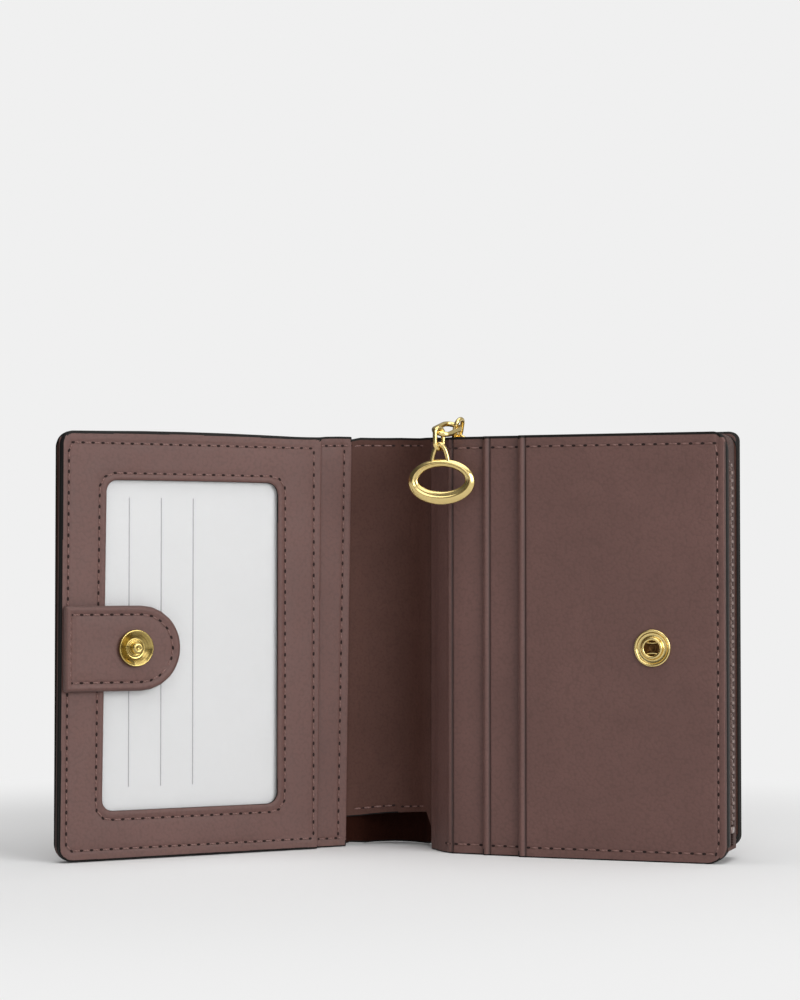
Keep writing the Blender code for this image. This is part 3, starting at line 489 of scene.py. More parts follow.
# Brown calf outside, the rough flesh side that shows only down inside the spine, coloured near black
# there as painted shade, and black edge paint: a thick satin coat that has dried slightly wavy.
BROWN_CALF = leather("brown_calf", (0.115, 0.053, 0.044))
OUTER_CALF = leather("outer_calf", (0.118, 0.055, 0.046), 1.25)
FLESH_SIDE_AND_SHADE = mottled("flesh_side_and_shade", (2200.0, 4.0, 0.65), (0.012, 0.003, 0.002),
                     (0.030, 0.009, 0.005), 0.95, relief=(0.0001, 0.6), Specular_IOR_Level=0.05)
EDGE_PAINT = mottled("black_edge_paint", (700.0, 3.0, 0.55), (0.004, 0.0035, 0.003),
                     (0.011, 0.010, 0.009), 0.45, 0.18, (0.00010, 0.5), Specular_IOR_Level=0.15)

# Each side's origin, direction and normal in plan.
BLOCK = ((11.594, -3.965), (0.945519, -0.325568), (0.325568, 0.945519))
SPINE = ((6.628, 10.33), (-0.947768, 0.318959), (-0.318959, -0.947768))
LEAF = ((-10.432, 16.072), (-0.877983, -0.478692), (0.478692, -0.877983))


def leaf_head(s):
    """How far the leaf's hand-cut top edge rises above the nominal height, along the leaf."""
    return np.interp(s, (0.0, 3.0, 6.0, 9.0, 11.5, 16.0, 25.0, 35.0, 45.0, 55.0, 65.0, 70.0, 75.0),
                     (0.60, 0.68, 0.66, 0.50, 0.20, 0.12, 0.30, 0.45, 0.48, 0.40, 0.20, 0.10, 0.0))


def leaf_foot(s):
    """How far the leaf's foot stands above the table, along the leaf."""
    return np.interp(s, (0.0, 11.0, 16.0, 70.0, 75.0), (0.05, 0.07, 0.2, 0.22, 0.25))


block, spine, leaf = side(*BLOCK), side(*SPINE), side(*LEAF, leaf_foot, leaf_head)


def plan(place, points):
    """The plan places, in mm, of (distance, depth) points on one side."""
    points = np.array(points, float)
    return place(points[:, 0], points[:, 1], 0.0)[:, :2] * 1000.0


def swell(start, end, bulge, steps=40):
    """A circular arc from start to end that swells by the bulge to the outer side of its chord."""
    start, end = np.array(start), np.array(end)
    half = np.linalg.norm(end - start) / 2
    ahead = (end - start) / (2 * half)
    out = np.array((ahead[1], -ahead[0]))
    radius = (half ** 2 + bulge ** 2) / (2 * bulge)
    reach = math.asin(min(1.0, half / radius))
    reach = math.pi - reach if bulge > half else reach
    a = np.linspace(-reach, reach, steps)[:, None]
    return (start + end) / 2 + radius * (ahead * np.sin(a) + out * np.cos(a)) - out * (radius - bulge)


def to_spine_middle(place, points, arc):
    """A plan line through a flat side's points and on round the spine's arc, up to its middle. The
    arc's first half is at the block and its second at the leaf."""
    first, second = np.split(arc, 2)
    half = first if place is block else second[::-1]
    middle = [(first[-1] + second[0]) / 2]
    return np.concatenate((plan(place, points), plan(spine, np.concatenate((half, middle)))))


def shell_lift(past_fold):
    """The shell's foot leaves the table by 0.8 mm beside each fold and by 0.15 mm round the spine."""
    return (0.15 + 0.65 * np.exp(-(past_fold / 2.6) ** 2)) * np.clip((past_fold + 3.0) / 2.0, 0.0, 1.0)


def fading(x, start, end):
    """1 at the start and 0 at the end, in a straight line between them."""
    return np.clip((end - x) / (end - start), 0.0, 1.0)


OUTER_ARC = swell((0.9, -3.0), (17.8, -1.7), 8.4)
COVER_RIGHT, COVER_SEAM, BLOCK_FOLD = 63.15, 2.5, 73.0
back_place = along_line(to_spine_middle(block, [(COVER_RIGHT, 14.9), (-9.6, 14.9)], OUTER_ARC), 2.6,
                        lambda x: np.maximum(shell_lift(x - BLOCK_FOLD), 2.6 * fading(x, 0.0, 60.0)),
                        lambda x: 0.4 * fading(x, 0.0, 40.0))
# Its inner face is the flesh side, coloured near black as painted shade.
back_cover = sheet("back_cover_leather", back_place, (0.0, back_place.length, 0.0, HEIGHT), (-0.7, 0.7),
                   (OUTER_CALF, EDGE_PAINT, FLESH_SIDE_AND_SHADE), (2.9, 0.0, 2.1, 0.0), (False, True),
                   relief=lambda x, z, d: furrow(d, COVER_SEAM) * (x < BLOCK_FOLD - 2.0),
                   marks=((COVER_SEAM, SEAM_REACH),), seam_rows=(COVER_SEAM, COVER_SEAM))
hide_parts("back_cover", "spine_cover")


def bend_at(piece):
    """Bakes a piece's transform into its mesh, so that it stays where it was built."""
    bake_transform(piece)


bend_at(back_cover)


# Front cover. The same outer leather over the card leaf, and round the other half of the spine.
LEAF_RIGHT, LEAF_FOLD = 75.0, 74.5
front_run = along_line(to_spine_middle(leaf, [(LEAF_RIGHT, -0.85), (0.9, -0.85)], OUTER_ARC), 2.6,
                       lambda x: shell_lift(x - LEAF_FOLD), None,
                       lambda x, z: (0.3 + 0.16 * z / HEIGHT) * fading(x, 0.0, 10.0))


def front_place(x, depth, z):
    """The front cover is pared thinner than the back one, and is skived to meet it flush at the spine."""
    return front_run(x, depth + 0.25 * (1.0 - fading(x, 77.0, 82.0)), z)


FRONT_SEAM = 1.7
# Its inner face is the flesh side, coloured near black as painted shade.
front_cover = sheet("front_cover_leather", front_place, (0.0, front_run.length, 0.0, HEIGHT),
                    (-0.45, 0.45), (FLESH_SIDE_AND_SHADE, EDGE_PAINT, OUTER_CALF), (4.2, 0.0, 3.3, 0.0), (False, True),
                    relief=lambda x, z, d: furrow(d, FRONT_SEAM) * (x < LEAF_FOLD - 1.5),
                    marks=((FRONT_SEAM, SEAM_REACH),), seam_rows=(FRONT_SEAM, FRONT_SEAM))
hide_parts("front_cover")
bend_at(front_cover)


# Stitches. A brown waxed thread of two twisted plies, flat between two needle holes 2.5 mm apart, and the
# holes themselves, as near-black discs of painted shade.
THREAD = Finish("brown_thread")
twist = THREAD.node("ShaderNodeTexWave", {"wave_type": "BANDS", "bands_direction": "DIAGONAL"},
                    {"Vector": THREAD.place(), "Scale": 650.0, "Distortion": 2.0, "Detail": 1.0})
fibre = THREAD.noise(THREAD.place(), 5000.0)
THREAD.set(Base_Color=THREAD.mix(twist * 0.6 + fibre * 0.4, (0.110, 0.050, 0.042), (0.225, 0.120, 0.102)),
           Roughness=0.45, Normal=THREAD.bump(twist, 0.00006, 0.7))
# The holes' near-black colour is painted shade in the holes.
HOLE_SHADE = mottled("needle_hole_shade", (2500.0,), (0.007, 0.002, 0.0015), (0.022, 0.007, 0.005), 0.95)


def circle(steps):
    """Angles all round a circle, in even steps."""
    return np.arange(steps) * (2 * math.pi / steps)


def seam(place, points, depth, direction, ride_on, name, pitch=2.5):
    """A row of stitches through (distance, height) points on one side, at a depth just under its face,
    whose outward direction is that of the depth axis times the given sign. Between each hole and the
    next lies one stitch: a grid whose ring radius is the square root of sin(pi t) along it, and whose
    middle rises by the same sine. The holes are small dished discs, coloured near black as painted shade."""
    x, z = np.asarray(points, float).T
    line, beyond = (place(x, depth + more, z) * 1000.0 for more in (0.0, direction))
    run = measured(line)
    spots = np.linspace(0.0, run[-1], max(2, int(round(run[-1] / pitch)) + 1))
    holes, up = along_run(spots, run, line), unit(along_run(spots, run, beyond - line))
    along, lift = np.diff(holes, axis=0), unit(up[:-1] + up[1:])
    step = unit(np.concatenate((along, along[-1:])))
    start, along, lift, across, holes, up, step, beside = (v[:, None, None] for v in (
        holes[:-1], along, lift, unit(np.cross(along, lift)), holes, up, step, np.cross(step, up)))
    t = np.array((0.0, 0.04, 0.14, 0.35, 0.65, 0.86, 0.96, 1.0))[None, :, None, None]
    a = circle(8)[None, None, :, None]
    wide, tall, sink, arch = 0.20, 0.17, 0.05, np.sin(math.pi * t)
    girth = np.sqrt(np.abs(arch))
    core = start + (0.13 + 0.74 * t) * along + lift * sink * (2.0 * arch - 1.0)
    stitch = core + girth * (tall * np.sin(a) * lift + wide * np.cos(a) * across)
    r, sag = (np.array(v)[None, :, None, None] for v in ((0.0, 0.7, 1.0), (-0.04, -0.02, 0.045)))
    disc = holes + up * sag + r * (0.46 * np.cos(a) * step + 0.27 * np.sin(a) * beside)
    for piece in (surface(name, stitch * 0.001, (False, True), finishes=(THREAD,)),
                  surface(name + "_holes", disc * 0.001, (False, True), finishes=(HOLE_SHADE,))):
        if isinstance(ride_on, str):
            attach(piece, ride_on)
        else:
            ride_on(piece)


def u_line(low_x, far_x, low_z, high_z, radius, steps=9):
    """From (low_x, low_z) out to far_x, round a corner, up, round the next, and back at high_z."""
    a = np.linspace(0.0, math.pi / 2, steps)
    sign = 1.0 if far_x > low_x else -1.0
    turn = far_x - sign * radius
    foot = np.stack((turn + sign * radius * np.sin(a), low_z + radius * (1 - np.cos(a))), axis=1)
    head = np.stack((turn + sign * radius * np.cos(a), high_z - radius * (1 - np.sin(a))), axis=1)
    return np.concatenate(([(low_x, low_z)], foot, head, [(low_x, high_z)]))


# The seams that show on the outer covers go right through to the card sheets and the window frame.
seam(back_place, u_line(BLOCK_FOLD - 2.0, COVER_SEAM, COVER_SEAM, HEIGHT - COVER_SEAM, 1.0), -0.62, -1.0,
     "block", "back_cover_stitches")
seam(front_place, u_line(LEAF_FOLD - 1.5, FRONT_SEAM, FRONT_SEAM, HEIGHT - FRONT_SEAM, 1.2), 0.37, 1.0,
     "leaf", "front_cover_stitches")


# Back lining. The stiff leather inside the back cover, sewn and painted with it.
rear_block = side(*BLOCK, lambda x: 2.6 * (1.0 - fading(x, 3.2, 63.2)),
                  lambda x: 0.4 * (1.0 - fading(x, 23.2, 63.2)))
back_lining = sheet("back_lining_leather", rear_block, (-9.05, COVER_RIGHT, 0.0, HEIGHT), (12.6, 14.0),
                    radii=(0.0, 2.9, 0.0, 2.1), open_ends=(True, False), paint=lapped(0.5, 0.5, 0.5))
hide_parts("back_lining")
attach(back_lining, "block")


# Divider. One thin sheet of smooth brown lining leather from the leaf, across the inside of the spine
# as a shallow bay, to the coin pocket's rear wall. Its colour is darkened as painted shade for the deep
# spine. A seam holds its turned lower edge.
INNER_HEIGHT, FRONT_FOOT, REAR_FOOT, BAY_SEAM = 94.7, 6.8, 0.5, 1.75
# The lining's brown is darkened as painted shade for the deep spine and the coin pocket.
LINING_CALF_SHADED = leather("lining_calf_painted_shade", (0.076, 0.033, 0.025), 0.8).set(Specular_IOR_Level=0.15)
INNER_ARC = swell((0.3, 0.0), (17.7, 0.0), 4.2)


def rear_foot(x):
    """How far the rear half's foot is raised: by the cover's slant, and by 8 mm past the fold."""
    past_fold = (8.0 - 0.8 * (1.0 - fading(x, 72.5, 82.0))) * (1.0 - fading(x, 71.0, 71.6))
    return past_fold + 2.6 * fading(x, 0.0, 60.0)


front_bay = along_line(to_spine_middle(leaf, [(LEAF_RIGHT, 0.0), (0.6, 0.0)], INNER_ARC), 1.8,
                       lambda x: 0.9 * (1.0 - fading(x, 75.0, 84.5)),
                       lambda x: 0.9 * (1.0 - fading(x, 72.0, 75.0)))
rear_bay = along_line(to_spine_middle(block, [(63.2, 11.9), (-9.0, 11.9)], INNER_ARC), 1.8, rear_foot,
                      lambda x: np.interp(x, (66.0, 70.0, 76.0, 82.0), (0.0, 0.6, 0.6, 0.9)))


def divider_half(name, bay, foot, faces, sewn_from):
    """Half of the divider, from a flat side to the spine's middle, with grooves where it is sewn."""
    return sheet(name, bay, (0.0, bay.length, foot, INNER_HEIGHT), faces, (LINING_CALF_SHADED, EDGE_PAINT),
                 radii=(3.4, 0.0), open_ends=(False, True),
                 relief=lambda x, z, d: furrow(d, BAY_SEAM, 0.07, 0.4) * (x > sewn_from),
                 seam_rows=(BAY_SEAM, BAY_SEAM), paint=lapped(0.3, 0.0, 0.55, INNER_HEIGHT))


divider_front = divider_half("divider_front_sheet", front_bay, FRONT_FOOT, (-0.2, 0.2), 74.0)
divider_rear = divider_half("divider_rear_sheet", rear_bay, REAR_FOOT, (0.2, -0.2), 71.0)
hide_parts("front_divider", "spine_divider")
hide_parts("divider_back")
bend_at(divider_front)
bend_at(divider_rear)
for bay, bay_name, from_x, foot, sign in ((front_bay, "bay_left", 73.9, FRONT_FOOT, -1.0),
                                          (rear_bay, "bay_right", 74.4, REAR_FOOT, 1.0)):
    bay_x = np.linspace(from_x, bay.length - 1.1, 12)
    for level, row in ((foot + BAY_SEAM, "foot"), (INNER_HEIGHT - BAY_SEAM, "head")):
        seam(bay, np.stack((bay_x, 0 * bay_x + level), axis=1), sign * 0.14, sign, "spine",
             f"{bay_name}_{row}_stitches", 2.3)


# Leaf stack. The pocket's back sheet, a filler round the rim and the window frame are glued up, sewn
# round the edge and painted black together.
def leaning(*places):
    """The leaf's side, but with lines that lean as hand-cut leather does: each entry gives a distance,
    how far its line moves at the foot and at the head, and how far the move spreads to either side."""
    def slip(x, z):
        moved = 0.0 * x
        for at, foot, head, spread in places:
            near = np.clip(1.0 - np.abs(x - at) / spread, 0.0, 1.0)
            moved = moved + (foot + (head - foot) * z / HEIGHT) * near * near * (3.0 - 2.0 * near)
        return moved
    return side(*LEAF, leaf_foot, leaf_head, slip)


STRIP_EDGE, STRIP_SEAM, LEAF_SEAM, FRAME_EDGE = 1.95, 4.5, 2.0, 11.05
strip_place = leaning((STRIP_EDGE, 1.2, -0.2, 2.6), (STRIP_SEAM, 0.9, -0.8, 2.8),
                      (LEAF_RIGHT, 0.0, -0.44, 8.0))


def strip_relief(x, z, d):
    """Grooves under the upright seam and, as far as the window frame, those at the foot and head."""
    return furrow(x, STRIP_SEAM, 0.10) + furrow(d, LEAF_SEAM) * (x < 13.0)


pocket_back = sheet("card_pocket_back", strip_place, (STRIP_EDGE, LEAF_RIGHT, 0.0, HEIGHT), (1.1, 0.4),
                    radii=(0.3, 3.6, 0.3, 2.8), relief=strip_relief, marks=((STRIP_SEAM, SEAM_REACH),),
                    seam_rows=(LEAF_SEAM, LEAF_SEAM), paint=lapped(0.0, 0.35, 0.5))
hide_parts("id_pocket_back")
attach(pocket_back, "leaf")
strip_z = np.linspace(3.0, HEIGHT - 3.4, 20)
seam(strip_place, np.stack((0 * strip_z + STRIP_SEAM, strip_z), axis=1), 1.02, 1.0, "leaf",
     "strip_stitches", 2.6)
for level, row in ((LEAF_SEAM, "foot"), (HEIGHT - LEAF_SEAM, "head")):
    seam(strip_place, [(2.4, level), (10.6, level)], 1.02, 1.0, "leaf", f"strip_{row}_stitches", 2.35)


def corner_arcs(box, radii):
    """A rectangle's four round corners, counterclockwise from the right one at the foot. The radii are
    those of the left and right corners, at the foot and then at the head."""
    left, right, foot, head = box
    a = np.linspace(0.0, math.pi / 2, 7)
    return [np.stack((x - out * r + r * np.cos(a + turn), z - up * r + r * np.sin(a + turn)), axis=1)
            for x, out, z, up, r, turn in (
                (right, 1, foot, -1, radii[1], -math.pi / 2), (right, 1, head, 1, radii[-1], 0.0),
                (left, -1, head, 1, radii[-2], math.pi / 2), (left, -1, foot, -1, radii[0], math.pi))]


def ring_sheet(name, place, outer, outer_radii, inner, inner_radii, faces, relief=None, paint=lapped(),
               marks_out=(), marks_in=()):
    """A sheet with a window. Both outlines are cut into matching pieces, and the surface runs straight
    from one to the other: places across are fixed steps from each edge, with even steps between, and
    both edges are rounded as on a plain sheet."""
    def outline(box, radii):
        arcs = corner_arcs(box, radii)
        share = np.linspace(0.0, 1.0, 22)[1:-1, None]
        return np.concatenate([part for arc, after in zip(arcs, arcs[1:] + arcs[:1])
                               for part in (arc, arc[-1] + share * (after[0] - arc[-1]))])

    def steps(marks):
        return np.sort([0.0, *EDGE_STEPS, *(m + w for m in marks for w in np.linspace(-0.75, 0.75, 7))])

    rim, hole = outline(outer, outer_radii), outline(inner, inner_radii)
    gap = np.linalg.norm(hole - rim, axis=1)[:, None]
    near, far = steps(marks_out)[None, :], steps(marks_in)[None, ::-1]
    between = near[:, -1:] + (gap - near[:, -1:] - far[:, :1]) * np.linspace(0.0, 1.0, 6)[None, 1:-1]
    near = np.broadcast_to(near, (len(rim), near.shape[1]))
    across = np.concatenate((near, between, gap - far), axis=1)
    share = (across / gap)[..., None]
    x, z = np.moveaxis(rim[:, None] * (1 - share) + hole[:, None] * share, -1, 0)
    from_rim = np.maximum(inset(x, z, outer, outer_radii), 0.0)
    from_hole = np.maximum(-inset(x, z, inner, inner_radii), 0.0)
    risen = relief(x, z, from_hole) if relief else 0.0
    depth = both_depths(faces, np.minimum(from_rim, from_hole), risen)
    ring_x, ring_z, rim_d, hole_d = (round_trip(v) for v in (x, z, from_rim, from_hole))
    lap = paint(ring_z, ring_x)
    lap = np.minimum(lap, np.roll(lap, -1, 0))
    black = (rim_d + np.roll(rim_d, -1, 1)) / 2 < lap
    black |= (hole_d + np.roll(hole_d, -1, 1)) / 2 < np.minimum(lap, 0.3) * 0.3
    return surface(name, place(ring_x, depth, ring_z), (True, True), black,
                   finishes=(BROWN_CALF, EDGE_PAINT))


WINDOW = (22.0, 64.7, 10.85, 84.15)
SEAM_BOX = (12.75, LEAF_RIGHT - 1.65, 2.4, HEIGHT - 2.6)
WINDOW_LOOP = (WINDOW[0] - 1.9, WINDOW[1] + 1.65, WINDOW[2] - 1.95, WINDOW[3] + 1.6)
LOOP_RADIUS = 3.4
frame_place = leaning((FRAME_EDGE, 0.5, -0.5, 1.6), (WINDOW[1], 0.25, -0.85, 7.0),
                      (LEAF_RIGHT, 0.0, -0.44, 6.0))


def frame_relief(x, z, from_hole):
    """Grooves under both loops of stitches, and a swelling beside the window."""
    to_seam = np.abs(inset(x, z, SEAM_BOX, (1.0, 1.0)))
    to_loop = np.abs(inset(x, z, WINDOW_LOOP, (LOOP_RADIUS, LOOP_RADIUS)))
    return furrow(to_seam, 0.0) + furrow(to_loop, 0.0) + 0.10 * np.exp(-((from_hole - 0.8) / 0.6) ** 2)


window_frame = ring_sheet("window_frame_leather", frame_place, (FRAME_EDGE, LEAF_RIGHT, 0.0, HEIGHT),
                          (0.4, 3.2, 0.4, 2.6), WINDOW, (2.5, 2.5), (3.1, 2.2), frame_relief,
                          lapped(0.32, 0.4, 0.66, bare_below=13.0), (1.65, 2.5), (1.75,))
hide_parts("id_window_frame")
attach(window_frame, "leaf")
rim_filler = ring_sheet("leaf_rim_filler", leaning((LEAF_RIGHT, 0.0, -0.44, 6.0)),
                        (13.0, LEAF_RIGHT - 0.1, 0.1, HEIGHT - 0.1), (0.4, 3.4, 0.4, 2.8),
                        (18.0, 71.2, 4.2, 90.8), (1.5, 1.5), (2.35, -0.55), paint=lapped(3.0, 3.0, 3.0))
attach(rim_filler, "leaf")
loop_start = [((WINDOW_LOOP[0] + WINDOW_LOOP[1]) / 2, WINDOW_LOOP[2])]
for seam_name, line, pitch in (
        ("window_stitches", (loop_start, *corner_arcs(WINDOW_LOOP, (LOOP_RADIUS,) * 2), loop_start), 2.4),
        ("frame_rim_stitches", (u_line(13.6, *SEAM_BOX[1:], 1.0),), 2.35),
        ("frame_fold_stitches", ([(SEAM_BOX[0], 3.6), (SEAM_BOX[0], HEIGHT - 3.6)],), 2.6)):
    seam(frame_place, np.concatenate(line), 3.02, 1.0, "leaf", seam_name, pitch)


# Card and film. A white card with three fine rules lies behind a clear film in the window.
def ruled_card():
    """White board with a faint tooth; three grey hair lines stop short of its ends."""
    finish = Finish("ruled_white_card")
    where = finish.place()
    (hinge_x, hinge_y), (way_x, way_y), _ = LEAF
    on_leaf = finish.node("ShaderNodeMapping", {"vector_type": "TEXTURE"}, {
        "Vector": where, "Location": (hinge_x * 0.001, hinge_y * 0.001, 0.0),
        "Rotation": (0.0, 0.0, math.atan2(way_y, way_x))})
    across = finish.node("ShaderNodeSeparateXYZ", {}, {0: on_leaf})
    up = Signal(finish, across.socket.node.outputs["Z"])
    lines = None
    for edge_to_line in (16.9, 24.65, 32.45):
        off = (across - (LEAF_RIGHT - edge_to_line) * 0.001).sum("ABSOLUTE")
        line = 1.0 - off.ranged(0.00010, 0.00020)
        lines = line if lines is None else lines.sum("MAXIMUM", line)
    lines = lines * (up > 0.016) * (1.0 - (up > 0.0805))
    tooth = finish.noise(where, 900.0, 3.0)
    board = finish.mix(tooth, (0.595, 0.592, 0.592), (0.630, 0.628, 0.628))
    return finish.set(Base_Color=finish.mix(lines * 0.95, board, (0.13, 0.13, 0.14)), Roughness=0.6,
                      Normal=finish.bump(tooth, 0.000006, 0.4))


window_card = sheet("window_card", leaf, (15.4, 69.4, 4.85, 90.45), (1.6, 1.3), (ruled_card(),) * 2,
                    radii=(3.0, 3.0), paint=0.0)
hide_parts("insert_card")
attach(window_card, "leaf")

# The film lets nearly all light through, and the rest is a slightly rippled gloss.
CLEAR_FILM = Finish("clear_film")
ripple = CLEAR_FILM.noise(CLEAR_FILM.place(), 60.0, 1.0)
CLEAR_FILM.set(Base_Color=(0.92, 0.93, 0.94), Roughness=0.16 + 0.06 * ripple, Alpha=0.16 + 0.05 * ripple,
               Normal=CLEAR_FILM.bump(ripple, 0.0004, 0.4), Specular_IOR_Level=0.25)
window_film = sheet("window_film", leaf, (19.8, 66.9, 9.0, 86.3), (2.0, 1.8), (CLEAR_FILM,) * 2,
                    radii=(2.6, 2.6), paint=0.0)
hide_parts("id_window_film")
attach(window_film, "leaf")


# Tab. Two leathers sewn back to back round their edge, with a round end. It is sewn down at the
# leaf's outer edge.
TURNED_EDGE = leather("turned_edge_calf", (0.105, 0.054, 0.046), 0.7)
TAB_LEFT, TAB_RIGHT, TAB_MIDDLE, TAB_REACH, TAB_SEAM = 46.85, 74.5, 46.93, 9.48, 2.0
tab_out = side(*LEAF)
tab = sheet("tab_strap", tab_out, (TAB_LEFT, TAB_RIGHT, TAB_MIDDLE - TAB_REACH, TAB_MIDDLE + TAB_REACH),
            (5.0, 3.3), (BROWN_CALF, TURNED_EDGE), radii=(TAB_REACH - 0.02, 0.6),
            relief=lambda x, z, d: furrow(d, TAB_SEAM, 0.18) + 0.10 * np.exp(-((d - 0.8) / 0.45) ** 2),
            marks=((TAB_RIGHT - TAB_SEAM, SEAM_REACH), (TAB_LEFT + TAB_SEAM, SEAM_REACH)),
            seam_rows=(TAB_SEAM, TAB_SEAM), paint=0.45)
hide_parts("tab_root", "tab_face", "tab_backing")


def bend_tab(piece):
    """Bakes a piece's transform into its mesh. The places on either side of the tab's own seam are worked
    out but not used.
    """
    seam_side, tab_side = tab_out(np.array((72.9, 71.6)), 4.15, TAB_MIDDLE)
    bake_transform(piece)


bend_tab(tab)
a = np.linspace(-math.pi / 2, math.pi / 2, 25)
round_end = np.stack((TAB_LEFT + TAB_REACH - (TAB_REACH - TAB_SEAM) * np.cos(a),
                      TAB_MIDDLE + (TAB_REACH - TAB_SEAM) * np.sin(a)), axis=1)
tab_line = np.concatenate(([(73.0, round_end[0, 1])], round_end, [(73.0, round_end[-1, 1])]))
seam(tab_out, tab_line, 4.9, 1.0, bend_tab, "tab_stitches", 2.35)
seam(tab_out, [(73.2, TAB_MIDDLE - 6.6), (73.2, TAB_MIDDLE + 6.6)], 4.9, 1.0, "leaf",
     "tab_root_stitches", 2.2)


# Card slots and gusset. Three sheets step back to the left. Each mouth is turned over into a round lip
# with a crease pressed beside it, and they are sewn together at the foot, the head and the right. The
# rearmost goes on round the coin pocket's left side as the gusset, folded so that it can open.
LIP_CREASE, PANEL_RIGHT, SIDE_SEAM, HEAD_SEAM, FOOT_SEAM = 1.72, 62.65, 1.6, 2.6, 2.2


def lip(x, mouth):
    """A bead 0.34 mm high over the turned edge, and the pressed crease 1.7 mm from it."""
    return (0.34 * np.sin(math.pi * np.clip((x - mouth) / 1.7, 0.0, 1.0)) ** 2
            - 0.22 * np.exp(-((x - mouth - LIP_CREASE) / 0.20) ** 2))


def pressed_line(x, at, width=0.26):
    """1 on the line at a distance, and a bell-shaped fall to either side."""
    return np.exp(-((x - at) / width) ** 2)


def slot_furrow(x, z, from_x):
    """Grooves under the seams at the foot, the head and the right edge."""
    rows = furrow(z, FOOT_SEAM) + furrow(INNER_HEIGHT - z, HEAD_SEAM)
    return (x > from_x) * rows + furrow(PANEL_RIGHT - x, SIDE_SEAM)


# Each slot's crease is darkened in colour, partly as heat-burnish and partly as painted shade.
for slot_name, cad_node, mouth, slot_faces in (
        ("card_sheet_inner", "card_pocket_inner", 6.8, (1.2, 1.8)),
        ("card_sheet_outer", "card_pocket_outer", 15.5, (0.0, 0.6))):
    slot = sheet(slot_name, block, (mouth, PANEL_RIGHT, 0.0, INNER_HEIGHT), slot_faces,
                 radii=(0.3, 4.2, 0.3, 2.6),
                 relief=lambda x, z, d: lip(x, mouth) + slot_furrow(x, z, mouth + 2.0),
                 crease=lambda x: pressed_line(x, mouth + LIP_CREASE),
                 marks=((mouth + 0.85, 0.85), (mouth + LIP_CREASE, 0.6),
                        (PANEL_RIGHT - SIDE_SEAM, SEAM_REACH)),
                 seam_rows=(FOOT_SEAM, HEAD_SEAM), paint=lapped(0.0, 0.35, 0.6, INNER_HEIGHT))
    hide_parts(cad_node)
    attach(slot, "block")

gusset_plan = [(PANEL_RIGHT, 2.35), (0.4, 2.35), (-1.0, 2.75), (-2.9, 4.3), (-5.2, 6.6), (-6.75, 8.85),
               (-8.3, 10.2), (-7.6, 11.0), (-5.9, 11.1)]
gusset_place = along_line(plan(block, gusset_plan), 2.4)
BASE_CREASE = PANEL_RIGHT + 0.6


def gusset_relief(x, z, d):
    """The turned edge's bead, the crease beside it and the grooves under the seams."""
    bead, crease = pressed_line(x, BASE_CREASE + 0.85, 0.45), pressed_line(x, BASE_CREASE, 0.2)
    return 0.24 * bead - 0.28 * crease + slot_furrow(PANEL_RIGHT - x, z, -2.6)


# The gusset's crease is darkened in colour likewise, partly as painted shade.
base_and_gusset = sheet(
    "base_sheet_and_gusset", gusset_place, (0.0, gusset_place.length, 0.0, INNER_HEIGHT), (0.38, -0.38),
    radii=(4.2, 0.0, 2.6, 0.0), open_ends=(False, True), relief=gusset_relief,
    crease=lambda x: pressed_line(x, BASE_CREASE, 0.3),
    marks=((SIDE_SEAM, SEAM_REACH), *((BASE_CREASE + past, reach) for past, reach in (
        (0.0, 0.6), (1.0, 0.8), (3.0, 1.2), (6.0, 1.6), (9.5, 1.6), (13.0, 1.6)))),
    seam_rows=(FOOT_SEAM, HEAD_SEAM), paint=lapped(0.3, 0.35, 0.6, INNER_HEIGHT))
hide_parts("card_base", "gusset_left")
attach(base_and_gusset, "block")

slot_filler = sheet("slot_rim_filler", block, (17.4, PANEL_RIGHT - 0.1, 0.1, INNER_HEIGHT - 0.1),
                    (0.3, 3.1), radii=(0.3, 4.1, 0.3, 2.5), paint=3.0)
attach(slot_filler, "block")


# A black band carries on the panel's thick painted edge behind the card sheets, down to the zip's tape;
# past the panel's edge its black is painted shade in the gap before the tape.
def soft(v, power):
    """A sine or cosine raised to a power with its sign kept, which turns a circle into a soft square."""
    return np.sign(v) * np.abs(v) ** power


band_half, band_depth, band_deep = 0.27, 3.95, 1.1
band_line = u_line(18.0, PANEL_RIGHT - band_half, 0.4, INNER_HEIGHT - 0.35, 3.6, 13)
a = circle(14)[None, :]
ahead = unit(np.gradient(band_line, axis=0))
out = band_half * soft(np.cos(a), 0.5)
# Black edge paint where it meets the panel, and painted shade of the gap beyond it.
edge_and_gap_shade_band = surface("panel_edge_binding", block(
    band_line[:, :1] + out * ahead[:, 1:], band_depth + band_deep * soft(np.sin(a), 0.5),
    band_line[:, 1:] - out * ahead[:, :1]), (False, True), finishes=(EDGE_PAINT,))
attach(edge_and_gap_shade_band, "block")
seam(block, u_line(17.9, PANEL_RIGHT - SIDE_SEAM, FOOT_SEAM, INNER_HEIGHT - HEAD_SEAM, 0.7), 0.09, -1.0,
     "block", "outer_slot_stitches", 2.65)
for level, row in ((FOOT_SEAM, "foot"), (INNER_HEIGHT - HEAD_SEAM, "head")):
    for place, start, end, depth, direction, kind in (
            (block, 9.3, 14.9, 1.29, -1.0, "inner_slot"),
            (gusset_place, PANEL_RIGHT - 6.2, PANEL_RIGHT - 0.3, 0.29, 1.0, "base_slot"),
            (gusset_place, PANEL_RIGHT + 1.4, PANEL_RIGHT + 2.6, 0.40, 1.0, "gusset")):
        seam(place, [(start, level), (end, level)], depth, direction, "block",
             f"{kind}_{row}_stitches", 2.65)


